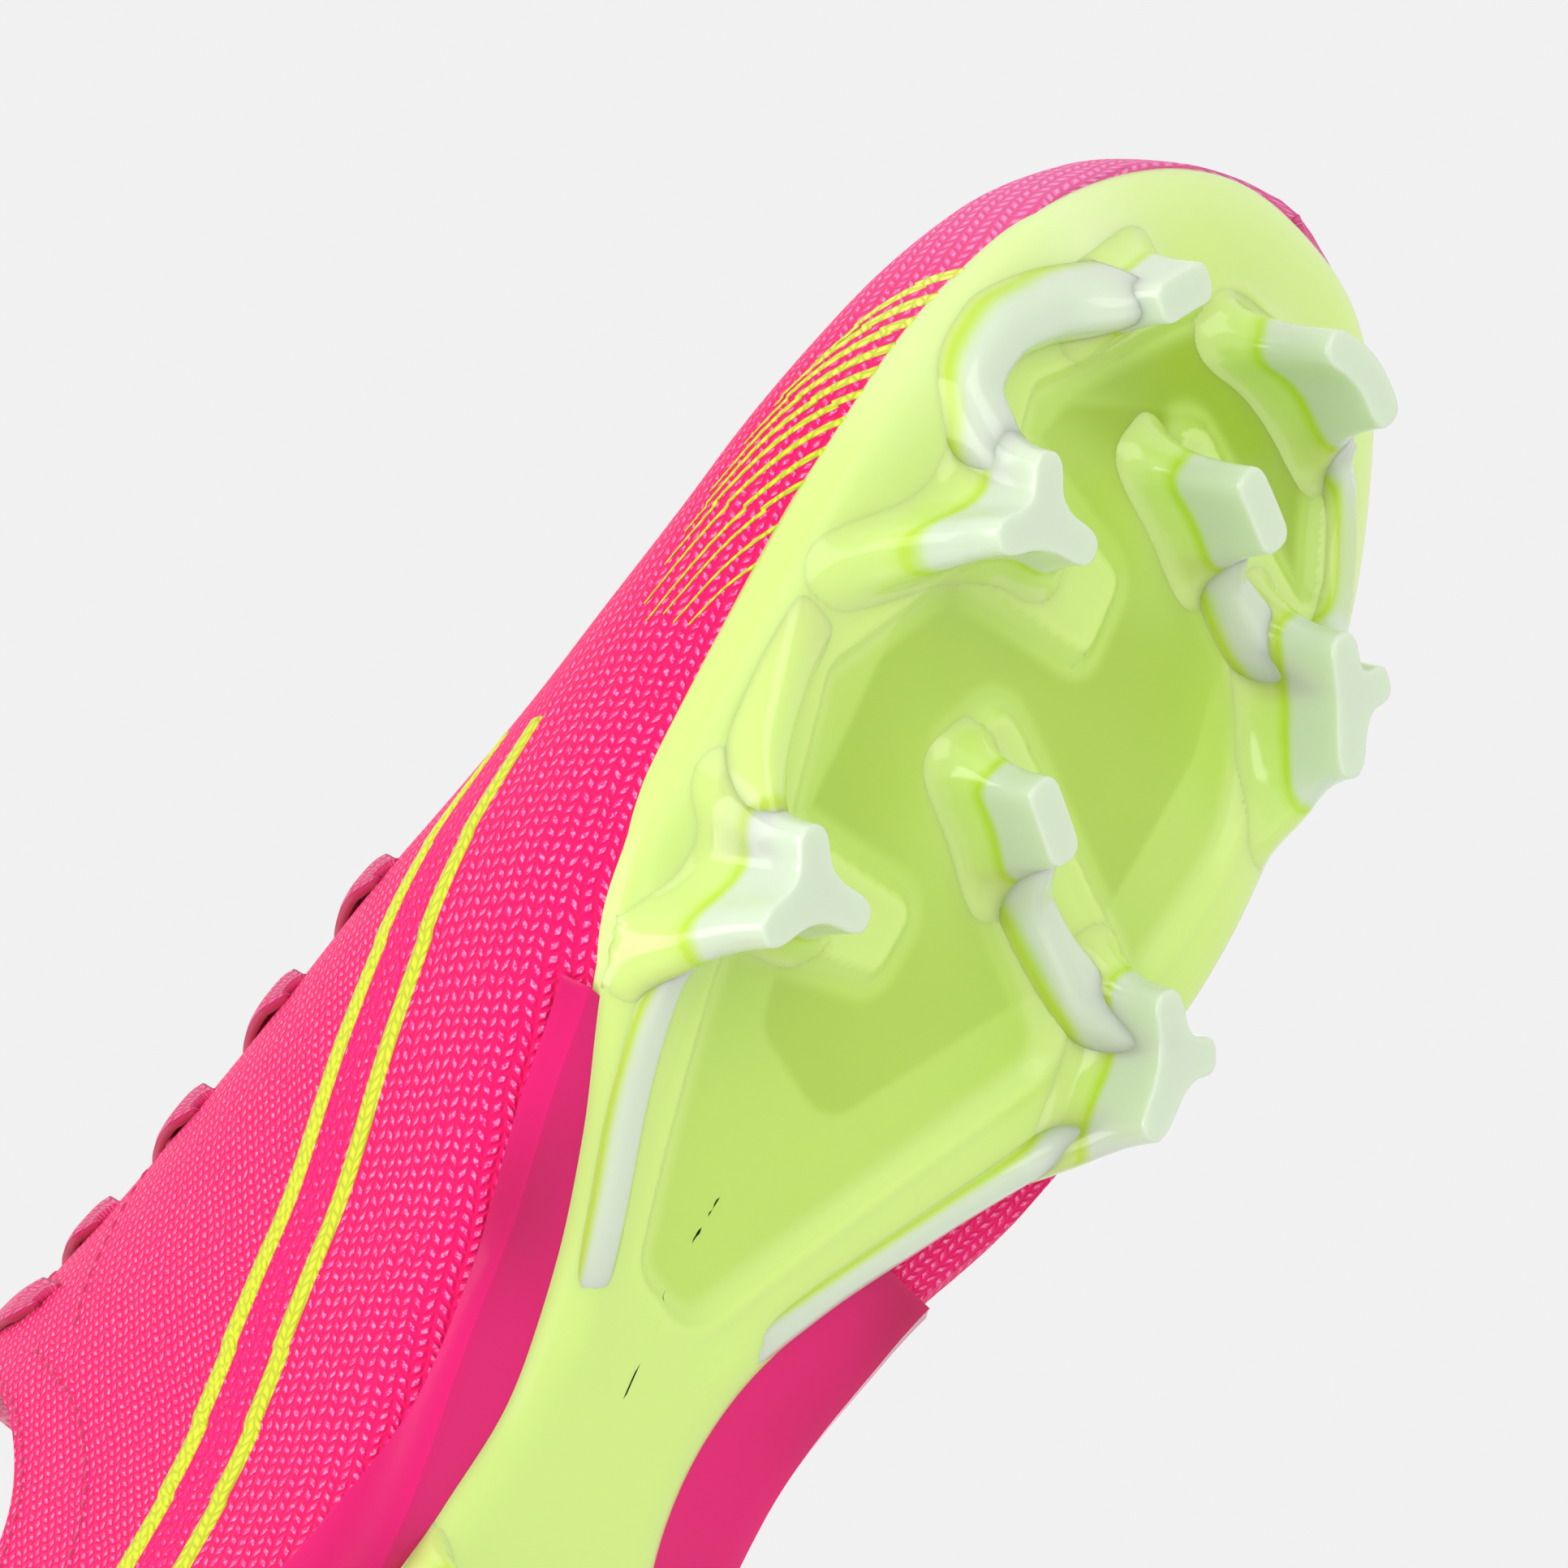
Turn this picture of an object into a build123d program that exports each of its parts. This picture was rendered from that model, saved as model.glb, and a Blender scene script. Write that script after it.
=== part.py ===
from build123d import *
import math
import os

# Soccer cleat for the right foot, firm-ground studs. Millimetres.
# +X is the toe, +Y the medial (big toe) side, +Z up. The boot stands on its stud tips at Z = 0.

# ---------- driving dimensions ----------
STUD_HEIGHT = 11.5          # ground to the underside of the plate at the ball of the foot
TOE_SPRING = 12.0           # extra lift of the plate at the toe tip
ARCH_LIFT = 6.0             # extra lift of the plate under the arch
HEEL_RISE = 0.5             # the heel plate sits this much higher than the ball
X_TOE = 141.0
X_BALL = 51.0
X_ARCH = -24.0
X_HEEL = -90.0
PLATE = 4.6                 # thickness of the plate
WINDOW_DEPTH = 1.3          # how far the window is sunk into the underside
POCKET_FLOOR = 2.6          # height of the air pocket's floor above the underside
GAP = 0.3                   # clearance between neighbouring layers
BOARD = 1.4                 # strobel board
INSOLE = 3.6
KNIT = 1.6                  # wall of the knitted upper
CAGE = 1.6                  # wall of the moulded cage
JACKET = 1.4                # milky overmould on each stud
RAIL_HEIGHT = 1.5           # how far the overmoulded rails stand off the plate
RAIL_WIDTH = 3.2
FIT = 0.08                  # gap between an overmould and its core
LACE_WIDTH = 6.0
LACE_THICK = 1.2
EYELET_R = 1.7

# Outline of the plate, from the toe tip round the medial side, heel and lateral side.
OUTLINE = [
    (141, 16), (139, 27.5), (131.5, 35.5), (118, 40.5), (99, 44.3), (78, 45), (58, 44.8),
    (42, 42.5), (24, 37.4), (4, 26.5), (-13, 16.8), (-29, 10.6), (-46, 9.5), (-64, 13.5),
    (-82, 19.5), (-100, 24), (-118, 23.5), (-132, 15.5), (-139.5, 1), (-138.5, -14),
    (-130, -26.5), (-116, -32.5), (-98, -33), (-80, -29.5), (-62, -24.5), (-46, -21.2),
    (-30, -23.5), (-16, -28.6), (0, -37.5), (12, -42.2), (35, -44.3), (60, -43.6),
    (81, -40.2), (97, -35.3), (111, -28.5), (124, -18), (134, -6), (139.5, 5),
]

# Corners of the sunk window and the radius of each.
WINDOW = [
    (124.5, 5, 8), (124.5, 24.5, 8), (96.2, 35.8, 2.5), (106.3, 4.6, 4), (94, 2.2, 4),
    (84, 31, 8), (66, 37, 20), (42.6, 32.4, 2.5), (57.5, -6, 4), (45.5, -11.5, 4),
    (31, 27.5, 6), (-26.5, -1.5, 6), (-25, -13, 5), (13.3, -26.5, 2.5), (21.5, -3.8, 2.5),
    (30.6, -3.9, 2.5), (27.2, -26.6, 2.5), (44.5, -33, 4), (65.8, -21.8, 3), (69.8, 2.6, 2.5),
    (81, 2.6, 2.5), (84.2, -21.2, 3), (91.5, -22, 3),
]

# Corners of the air unit that lies in the pocket above the window.
AIR_UNIT = [
    (112, 8, 8), (100, 25, 10), (72, 30, 14), (38, 26, 12), (0, 4, 10), (4, -16, 8),
    (30, -28, 10), (60, -30, 14), (96, -18, 10),
]

# Stations of the lasted shape: x, lateral y, medial y, height of the widest line, height of
# the crown, sideways shift of the crown.
STATIONS = [
    (-142.6, -7.5, -1, 31, 50, 0), (-141, -13, 4, 30.5, 76, 0), (-136, -22, 12.8, 30, 96, 0),
    (-126, -32, 23, 30.5, 117, 0), (-108, -36.6, 28, 31, 131, 0), (-85, -35.6, 27, 32, 132, 0),
    (-60, -33, 25.5, 33, 127, 0), (-35, -34.2, 26.8, 34, 116, 2), (-10, -40.2, 33.2, 33.4, 100, 4),
    (15, -46.2, 41, 29.6, 82, 6), (40, -46.8, 46, 27, 66, 6.6), (65, -45.2, 47.6, 26, 54.5, 7),
    (90, -39.6, 46.8, 26.6, 47.5, 5), (110, -31, 44, 27.6, 43, 3), (125, -19, 40, 29, 40, 1.5),
    (134, -7.5, 35, 30, 38, 0.5), (139.5, 3.5, 28, 30.6, 35.6, 0), (142.4, 12, 19, 31, 33, 0),
]
X_END = 142.6               # half length of the lasted shape

# Topline of the boot seen from the side, from the heel tab forward and up to the throat.
TOPLINE = [(-150, 88), (-134, 84), (-116, 73), (-96, 68), (-76, 74), (-60, 87), (-46, 112)]

# Throat slot: centre line and half width at its front and at its top.
THROAT_FRONT = (22, 4.2)
THROAT_TOP = (-52, -3)
THROAT_HALF_FRONT = 8.0
THROAT_HALF_TOP = 17.0

# Forefoot studs. Each stud is a centre, its arms (x, y of each arm's end), arm half width
# and the height of its tip above the ground.
STAR_FRONT_LATERAL = ((71.5, -23), [(78.3, -27.5), (73.2, -14), (64.5, -29)], 2.3, 0)
STAR_FRONT_MEDIAL = ((85, 33), [(90, 26.5), (90.5, 36.8), (77, 38)], 2.3, 0)
STAR_MID_LATERAL = ((16.5, -29.5), [(22.3, -34.5), (18.5, -20.5), (7.5, -33.5)], 2.3, 0)
STAR_MID_MEDIAL = ((34, 32.5), [(39.3, 25.7), (38, 37.4), (23.6, 33.6)], 2.3, 0)
BLADE_TOE_LATERAL = ((108.3, -16.5), [(104.4, -18.8), (112.4, -13.8)], 2.6, 3.5)
BLADE_TOE_MEDIAL = ((120, 15), [(118.6, 7.5), (117.2, 22.5)], 2.5, 3.5)
BLADE_FRONT_CENTRE = ((93.8, 6.5), [(95.6, 1.5), (91.6, 11.6)], 2.5, 0)
BLADE_MID_CENTRE = ((44.6, -2), [(46.8, -6.6), (42, 3)], 2.6, 0)
HEEL_LATERAL_FRONT = ((-80, -21), [(-74.5, -24), (-80, -14), (-88, -25)], 2.3, 0)
HEEL_LATERAL_REAR = ((-118, -20), [(-111.5, -25), (-116, -12.5), (-125.5, -20)], 2.3, 0)
HEEL_MEDIAL_FRONT = ((-82, 10), [(-76.5, 11.5), (-83, 3), (-90, 15)], 2.3, 0)
HEEL_MEDIAL_REAR = ((-118, 12), [(-111.5, 16), (-117, 4.5), (-125.5, 9)], 2.3, 0)

# Overmoulded rails on the underside, as the points of their centre lines.
RAIL_TOE_LATERAL = [(77.5, -30), (81, -35.2), (88, -34.5), (104.5, -20)]
RAIL_TOE_MEDIAL = [(116.5, 23), (112, 33.5), (100, 38)]
RAIL_FRONT_CENTRE = [(91, 13), (86, 31)]
RAIL_MID_LATERAL = [(6.5, -33), (-8, -27), (-36, -15.5)]
RAIL_MID_CENTRE = [(41.5, 4.5), (36.5, 23), (35, 31)]
RAIL_MID_MEDIAL = [(23, 34), (-4, 18.5), (-28, 5)]

SPAN = 200.0                # half length of every cutting block
FAR = 150.0                 # height well above the boot
EYELET_X = [11, -2, -15, -28, -41]
EYELET_INSET = 5.0          # from the throat's edge to the eyelets
LACE_RUN = 25.0             # how far the front crossing runs on down the lateral side


# ---------- shared geometry ----------
def smooth_step(t):
    t = min(max(t, 0.0), 1.0)
    return t * t * (3 - 2 * t)


def underside(x):
    """Height of the plate's underside along the boot."""
    lift = TOE_SPRING * (max(x - X_BALL, 0.0) / (X_TOE - X_BALL)) ** 2
    lift += ARCH_LIFT * smooth_step((X_BALL - x) / (X_BALL - X_ARCH))
    lift -= (ARCH_LIFT - HEEL_RISE) * smooth_step((X_ARCH - 10 - x) / (X_ARCH - 10 - X_HEEL))
    return STUD_HEIGHT + lift


def side_block(low, high):
    """Block across the whole boot between two edges, each a list of (x, z)."""
    bottom = Spline(*[(x, 0, z) for x, z in low])
    top = Spline(*[(x, 0, z) for x, z in high])
    ends = [Line(bottom @ 0, top @ 0), Line(bottom @ 1, top @ 1)]
    face = make_face([bottom, top] + ends)
    return extrude(face, amount=FAR, dir=(0, 1, 0), both=True)


def sole_layer(low, high):
    """Layer that follows the sole, between two heights above the plate's underside."""
    stations = [X_END * 1.05 * (i / 12 - 1) for i in range(25)]
    return side_block([(x, underside(x) + low) for x in stations],
                      [(x, underside(x) + high) for x in stations])


def inset_points(points, amount):
    """Closed outline moved inwards by the same amount everywhere (anticlockwise points)."""
    moved = []
    for i, (x, y) in enumerate(points):
        ax, ay = points[i - 1]
        bx, by = points[(i + 1) % len(points)]
        length = math.hypot(bx - ax, by - ay)
        moved.append((x - (by - ay) / length * amount, y + (bx - ax) / length * amount))
    return moved


def sole_prism(amount=0.0):
    """Tall prism on the plate's outline, inset by the amount."""
    edge = Spline(*inset_points(OUTLINE, amount), periodic=True)
    return extrude(make_face(edge), amount=FAR)


def corner_face(corners):
    """Face with a filleted corner at each (x, y, radius)."""
    points = [(x, y) for x, y, r in corners]
    radii = [r for x, y, r in corners]
    return make_face(FilletPolyline(*points, radius=radii, close=True))


def corner_prism(corners):
    return extrude(corner_face(corners), amount=FAR)


def lasted_section(station, offset):
    """Closed cross-section of the lasted shape, moved inwards by the offset."""
    x, lateral, medial, wide, crown, shift = station
    half = (medial - lateral) / 2
    half -= offset * min(1.0, half / 12)
    middle = (medial + lateral) / 2
    rise = crown - wide
    rise -= offset * min(1.0, rise / 14)
    drop = wide - underside(x) + 8
    points = []
    for i in range(10):
        a = math.pi * i / 10
        y = middle + half * math.cos(a) + shift * math.sin(a) ** 2
        points.append((x * (X_END - offset) / X_END, y, wide + rise * math.sin(a)))
    for i in range(8):
        a = math.pi * (1 + i / 8)
        y = middle + half * math.copysign(abs(math.cos(a)) ** 0.6, math.cos(a))
        points.append((x * (X_END - offset) / X_END, y, wide + drop * math.sin(a)))
    return make_face(Spline(*points, periodic=True))


def lasted(offset):
    """Solid of the foot shape, trimmed where it meets the top of the plate."""
    body = loft([lasted_section(s, offset) for s in STATIONS])
    return body & sole_layer(PLATE + GAP, FAR)


def skin(outer, inner):
    """Closed layer between two offsets of the lasted shape."""
    return lasted(outer) - lasted(inner)


def station_at(x):
    """Values of the stations table at any x, by straight lines between its rows."""
    for a, b in zip(STATIONS, STATIONS[1:]):
        if a[0] <= x <= b[0]:
            t = (x - a[0]) / (b[0] - a[0])
            return [p + t * (q - p) for p, q in zip(a, b)]


def crown_height(x, y, offset):
    """Height of the lasted shape's upper side at x and y, moved inwards by the offset."""
    _, lateral, medial, wide, crown, shift = station_at(x)
    half = (medial - lateral) / 2 - offset
    middle = (medial + lateral) / 2
    low, high = 0.0, math.pi
    for _ in range(40):
        a = (low + high) / 2
        if middle + half * math.cos(a) + shift * math.sin(a) ** 2 > y:
            low = a
        else:
            high = a
    return wide + (crown - offset - wide) * math.sin(a)


def band_face(x, outer, inner, low, high):
    """Cross-section of a band on the instep, between two offsets and two y values."""
    across = [low + (high - low) * i / 10 for i in range(11)]
    points = [(x, y, crown_height(x, y, outer)) for y in across]
    points += [(x, y, crown_height(x, y, inner)) for y in reversed(across)]
    return make_face(Polyline(*points, close=True))


def only_solids(shape):
    """The shape's solids as one compound, without slivers."""
    keep = [s for s in shape.solids() if s.volume > 5]
    return keep[0] if len(keep) == 1 else Compound(children=keep)


# ---------- collar and throat openings ----------
def above_topline(extra=0.0):
    return side_block([(x, z + extra) for x, z in TOPLINE], [(x, FAR + 40) for x, z in TOPLINE])


def throat_prism(margin=0.0, front=0.0):
    """Tall prism on the throat slot, widened by the margin."""
    fx, fy = THROAT_FRONT
    tx, ty = THROAT_TOP
    narrow = THROAT_HALF_FRONT + margin
    wide = THROAT_HALF_TOP + margin
    corners = [
        (fx + margin + front, fy - narrow, narrow * 0.7), (fx + margin + front, fy + narrow, narrow * 0.7),
        (tx, ty + wide, 0), (tx - 15, ty + wide, 0), (tx - 15, ty - wide, 0), (tx, ty - wide, 0),
    ]
    face = corner_face(corners)
    return Pos(0, 0, 45) * extrude(face, amount=FAR)


def throat_edges(x, margin=0.0):
    """Lateral and medial y of the throat slot at x, widened by the margin."""
    t = (THROAT_FRONT[0] - x) / (THROAT_FRONT[0] - THROAT_TOP[0])
    centre = THROAT_FRONT[1] + t * (THROAT_TOP[1] - THROAT_FRONT[1])
    half = THROAT_HALF_FRONT + t * (THROAT_HALF_TOP - THROAT_HALF_FRONT) + margin
    return centre - half, centre + half


def eyelet_points():
    """Centres of the eyelets on both sides of the throat."""
    return [(x, y) for x in EYELET_X for y in throat_edges(x, EYELET_INSET)]


def eyelet_holes():
    holes = [Pos(x, y, FAR / 2 + 45) * Cylinder(EYELET_R, FAR) for x, y in eyelet_points()]
    return Compound(children=holes)


# ---------- studs ----------
def star_points(stud, grow, narrow):
    """Corner list of a stud's plan: two corners per arm and a hollow between arms."""
    (cx, cy), arms, half, tip = stud
    half = half - narrow
    ordered = sorted(arms, key=lambda p: math.atan2(p[1] - cy, p[0] - cx))
    points = []
    for i, (ax, ay) in enumerate(ordered):
        angle = math.atan2(ay - cy, ax - cx)
        reach = math.hypot(ax - cx, ay - cy) + grow - narrow
        ux, uy = math.cos(angle), math.sin(angle)
        for side in (-1, 1):
            points.append((cx + ux * reach - side * uy * half, cy + uy * reach + side * ux * half))
        nx, ny = ordered[(i + 1) % len(ordered)]
        following = math.atan2(ny - cy, nx - cx)
        if following <= angle:
            following += 2 * math.pi
        hollow = (angle + following) / 2
        if len(arms) == 3:
            depth = half * 1.35 + grow * 0.5
        else:
            depth = half + grow * 0.4
        points.append((cx + math.cos(hollow) * depth, cy + math.sin(hollow) * depth))
    return points


def star_face(stud, grow, narrow, z):
    points = [(x, y, z) for x, y in star_points(stud, grow, narrow)]
    return make_face(Polyline(*points, close=True))


def stud_loft(stud, narrow, tip, top):
    """Tapered stud from a wide root at the plate to its tip."""
    root = star_face(stud, 3.2, narrow - 1.0, top)
    end = star_face(stud, 0.0, narrow, tip)
    return loft([end, root], ruled=True)


def stud_core(stud, extra=0.0):
    """Core that belongs to the plate and carries the jacket."""
    x = stud[0][0]
    return stud_loft(stud, JACKET - extra, stud[3] + 3.5 - extra, underside(x) + 3)


def stud_jacket(stud):
    return stud_loft(stud, 0.0, stud[3], underside(stud[0][0]) + 3)


def rail(points):
    """Flat rail that follows the underside along a centre line."""
    path = Line(points[0], points[1])
    if len(points) > 2:
        runs = [math.dist(a, b) for a, b in zip(points, points[1:])]
        radii = [min(6.0, 0.3 * a, 0.3 * b) for a, b in zip(runs, runs[1:])]
        path = FilletPolyline(*points, radius=radii)
    strip = trace(path, RAIL_WIDTH)
    return extrude(strip, amount=FAR) & sole_layer(-RAIL_HEIGHT, 0)


def overmould(studs, rails):
    """One milky moulding: its jackets and rails, hollow over the cores, clear of the plate."""
    body = stud_jacket(studs[0])
    for stud in studs[1:]:
        body = body + stud_jacket(stud)
    for points in rails:
        body = body + rail(points)
    body = body & sole_layer(-STUD_HEIGHT - TOE_SPRING - 5, -FIT)
    for stud in studs:
        body = body - stud_core(stud, FIT)
    return only_solids(body)


# ---------- sub-parts ----------
MOULDINGS = {
    "stud_cap_toe_front_lateral": ([STAR_FRONT_LATERAL, BLADE_TOE_LATERAL], [RAIL_TOE_LATERAL]),
    "stud_cap_toe_medial": ([BLADE_TOE_MEDIAL], [RAIL_TOE_MEDIAL]),
    "stud_cap_front_medial": ([STAR_FRONT_MEDIAL, BLADE_FRONT_CENTRE], [RAIL_FRONT_CENTRE]),
    "stud_cap_mid_lateral": ([STAR_MID_LATERAL], [RAIL_MID_LATERAL]),
    "stud_cap_mid_medial": ([STAR_MID_MEDIAL, BLADE_MID_CENTRE], [RAIL_MID_CENTRE, RAIL_MID_MEDIAL]),
    "stud_cap_heel_lateral_front": ([HEEL_LATERAL_FRONT], []),
    "stud_cap_heel_lateral_rear": ([HEEL_LATERAL_REAR], []),
    "stud_cap_heel_medial_front": ([HEEL_MEDIAL_FRONT], []),
    "stud_cap_heel_medial_rear": ([HEEL_MEDIAL_REAR], []),
}


def make_outsole_plate():
    plate = sole_prism() & sole_layer(0, PLATE)
    plate = plate - (corner_prism(WINDOW) & sole_layer(-10, WINDOW_DEPTH))
    plate = plate - (corner_prism(AIR_UNIT) & sole_layer(POCKET_FLOOR, 20))
    below_top = sole_layer(-STUD_HEIGHT - TOE_SPRING - 5, POCKET_FLOOR - 0.4)
    for studs, rails in MOULDINGS.values():
        for stud in studs:
            plate = plate + (stud_core(stud) & below_top)
    return only_solids(plate)


def make_air_unit():
    face = offset(corner_face(AIR_UNIT), amount=-GAP)
    return extrude(face, amount=FAR) & sole_layer(POCKET_FLOOR + 0.1, PLATE - 0.1)


def make_strobel_board():
    return sole_prism(3.5) & sole_layer(PLATE + GAP, PLATE + GAP + BOARD)


def make_insole():
    low = PLATE + 2 * GAP + BOARD
    return sole_prism(6.5) & sole_layer(low, low + INSOLE)


def make_upper_knit():
    return only_solids(skin(0, KNIT) - above_topline() - throat_prism() - eyelet_holes())


def region(x_low, x_high, z_high=FAR):
    """Box that keeps one stretch of the boot, up to a height."""
    return Pos((x_low + x_high) / 2, 0, z_high / 2) * Box(x_high - x_low, SPAN, z_high)


def make_toe_puff():
    return only_solids(skin(KNIT + GAP, KNIT + GAP + 0.8) & region(108, 150))


def make_heel_counter():
    return only_solids(skin(KNIT + GAP, KNIT + GAP + 1.1) & region(-150, -88, 54))


def make_heel_lining():
    lining = skin(KNIT + 2 * GAP + 1.1, KNIT + 2 * GAP + 2.1) & region(-150, -80, 56)
    return only_solids(lining & sole_layer(PLATE + 2 * GAP + BOARD + INSOLE + 1.5, FAR))


def make_collar_padding():
    pad = skin(KNIT + GAP, KNIT + 6.5) & region(-150, -62)
    pad = pad - above_topline(-1.2)
    return only_solids(pad - region(-150, -40, 56.5))


def cage_block():
    """Side view of the moulded cage: low wings under the arch and a cup round the heel."""
    top = [(-150, 48), (-135, 46), (-112, 39), (-90, 32), (-70, 28.5), (-50, 27), (-25, 26.5), (-2, 22)]
    return side_block([(x, -20) for x, z in top], top)


def make_side_cage():
    return only_solids(skin(-GAP - CAGE, -GAP) & cage_block())


def make_eyestay(side):
    """Reinforcing strip under the knit beside the throat, with its eyelet holes."""
    faces = []
    for x in (-45, -35, -10, 15, 19):
        near = throat_edges(x, 0.6)[side]
        far = throat_edges(x, 8.4)[side]
        faces.append(band_face(x, KNIT + 0.5, KNIT + 1.2, min(near, far), max(near, far)))
    return loft(faces, ruled=True) - eyelet_holes()


def make_tongue():
    """Tongue under the throat, wider than the slot and a little longer at the top."""
    faces = []
    for x in (-50, -35, -10, 15, 25):
        low, high = throat_edges(x, 4.0)
        faces.append(band_face(x, KNIT + 2.2, KNIT + 5.2, low, high))
    return loft(faces, ruled=True)


def make_lace():
    """Flat crossings of the lace, drawn tight; the front ones run on down the lateral side."""
    bars = []
    for x in EYELET_X:
        low, high = throat_edges(x, EYELET_INSET + 2)
        low -= LACE_RUN * max(0.0, x - EYELET_X[3]) / (EYELET_X[0] - EYELET_X[3])
        edges = (x - LACE_WIDTH / 2, x + LACE_WIDTH / 2)
        faces = [band_face(e, -0.5 - LACE_THICK, -0.5, low, high) for e in edges]
        bars.append(loft(faces, ruled=True))
    return Compound(children=bars)


def write(shape, node):
    export_step(shape, f"parts/{node}.step")


def main():
    os.makedirs("parts", exist_ok=True)
    write(make_outsole_plate(), "outsole_plate")
    for node, (studs, rails) in MOULDINGS.items():
        write(overmould(studs, rails), node)
    write(make_air_unit(), "air_unit")
    write(make_strobel_board(), "strobel_board")
    write(make_insole(), "insole")
    write(make_upper_knit(), "upper_knit")
    write(make_toe_puff(), "toe_puff")
    write(make_heel_counter(), "heel_counter")
    write(make_heel_lining(), "heel_lining")
    write(make_collar_padding(), "collar_padding")
    write(make_side_cage(), "side_cage")
    write(make_eyestay(0), "eyestay_lateral")
    write(make_eyestay(1), "eyestay_medial")
    write(make_tongue(), "tongue")
    write(make_lace(), "lace")


main()
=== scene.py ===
import math

import bmesh
import bpy
import numpy as np
from mathutils import Matrix, Vector


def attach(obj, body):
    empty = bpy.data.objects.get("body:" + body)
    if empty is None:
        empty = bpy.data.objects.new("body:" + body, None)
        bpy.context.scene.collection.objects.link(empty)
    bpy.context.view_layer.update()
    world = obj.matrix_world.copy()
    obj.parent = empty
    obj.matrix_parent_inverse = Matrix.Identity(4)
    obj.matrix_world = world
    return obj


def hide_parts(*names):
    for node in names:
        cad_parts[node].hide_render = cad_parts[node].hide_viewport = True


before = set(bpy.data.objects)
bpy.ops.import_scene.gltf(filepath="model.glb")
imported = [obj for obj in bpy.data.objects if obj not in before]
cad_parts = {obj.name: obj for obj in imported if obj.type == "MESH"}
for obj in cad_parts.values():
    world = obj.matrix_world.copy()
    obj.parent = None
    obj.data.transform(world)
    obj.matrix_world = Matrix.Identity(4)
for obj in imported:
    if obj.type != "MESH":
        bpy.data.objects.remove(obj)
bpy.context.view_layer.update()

bl_info = {
    "name": "Soccer cleat",
    "version": (1, 0, 0),
    "blender": (4, 5, 0),
    "location": "3D View > Sidebar > Cleat",
    "description": "Builds the visible pieces and finishes of a right-foot soccer cleat",
    "category": "Add Mesh",
}

MM = 0.001

# ---------------------------------------------------------------------------
# Driving shape, in millimetres: +X toe, +Y medial side, +Z up, ground at 0
# ---------------------------------------------------------------------------
STUD_HEIGHT = 11.5
TOE_SPRING = 12.0
ARCH_LIFT = 6.0
HEEL_RISE = 0.5
X_TOE = 141.0
X_BALL = 51.0
X_ARCH = -24.0
X_HEEL = -90.0
X_END = 142.6
PLATE = 4.6
WINDOW_DEPTH = 1.3
KNIT = 1.6

OUTLINE = [
    (141, 16), (139, 27.5), (131.5, 35.5), (118, 40.5), (99, 44.3), (78, 45), (58, 44.8),
    (42, 42.5), (24, 37.4), (4, 26.5), (-13, 16.8), (-29, 10.6), (-46, 9.5), (-64, 13.5),
    (-82, 19.5), (-100, 24), (-118, 23.5), (-132, 15.5), (-139.5, 1), (-138.5, -14),
    (-130, -26.5), (-116, -32.5), (-98, -33), (-80, -29.5), (-62, -24.5), (-46, -21.2),
    (-30, -23.5), (-16, -28.6), (0, -37.5), (12, -42.2), (35, -44.3), (60, -43.6),
    (81, -40.2), (97, -35.3), (111, -28.5), (124, -18), (134, -6), (139.5, 5),
]
WINDOW = [
    (124.5, 5, 8), (124.5, 24.5, 8), (96.2, 35.8, 2.5), (106.3, 4.6, 4), (94, 2.2, 4),
    (84, 31, 8), (66, 37, 20), (42.6, 32.4, 2.5), (57.5, -6, 4), (45.5, -11.5, 4),
    (31, 27.5, 6), (-26.5, -1.5, 6), (-25, -13, 5), (13.3, -26.5, 2.5), (21.5, -3.8, 2.5),
    (30.6, -3.9, 2.5), (27.2, -26.6, 2.5), (44.5, -33, 4), (65.8, -21.8, 3), (69.8, 2.6, 2.5),
    (81, 2.6, 2.5), (84.2, -21.2, 3), (91.5, -22, 3),
]
AIR_UNIT = [
    (112, 8, 8), (100, 25, 10), (72, 30, 14), (38, 26, 12), (0, 4, 10), (4, -16, 8),
    (30, -28, 10), (60, -30, 14), (96, -18, 10),
]
# x, lateral y, medial y, height of the widest line, height of the crown, crown shift
STATIONS = [
    (-142.6, -7.5, -1, 31, 50, 0), (-141, -13, 4, 30.5, 76, 0), (-136, -22, 12.8, 30, 96, 0),
    (-126, -32, 23, 30.5, 117, 0), (-108, -36.6, 28, 31, 131, 0), (-85, -35.6, 27, 32, 132, 0),
    (-60, -33, 25.5, 33, 127, 0), (-35, -34.2, 26.8, 34, 116, 2), (-10, -40.2, 33.2, 33.4, 100, 4),
    (15, -46.2, 41, 29.6, 82, 6), (40, -46.8, 46, 27, 66, 6.6), (65, -45.2, 47.6, 26, 54.5, 7),
    (90, -39.6, 46.8, 26.6, 47.5, 5), (110, -31, 44, 27.6, 43, 3), (125, -19, 40, 29, 40, 1.5),
    (134, -7.5, 35, 30, 38, 0.5), (139.5, 3.5, 28, 30.6, 35.6, 0), (142.4, 12, 19, 31, 33, 0),
]
TOPLINE = [(-150, 88), (-134, 84), (-116, 73), (-96, 68), (-76, 74), (-60, 87), (-46, 112)]
THROAT_FRONT = (22, 4.2)
THROAT_TOP = (-52, -3)
THROAT_HALF_FRONT = 8.0
THROAT_HALF_TOP = 17.0
EYELET_X = [11, -2, -15, -28, -41]
EYELET_INSET = 5.0
LACE_RUN = 25.0


# ---------------------------------------------------------------------------
# Shape helpers
# ---------------------------------------------------------------------------
def smooth_step(value):
    value = np.clip(value, 0.0, 1.0)
    return value * value * (3 - 2 * value)


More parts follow.
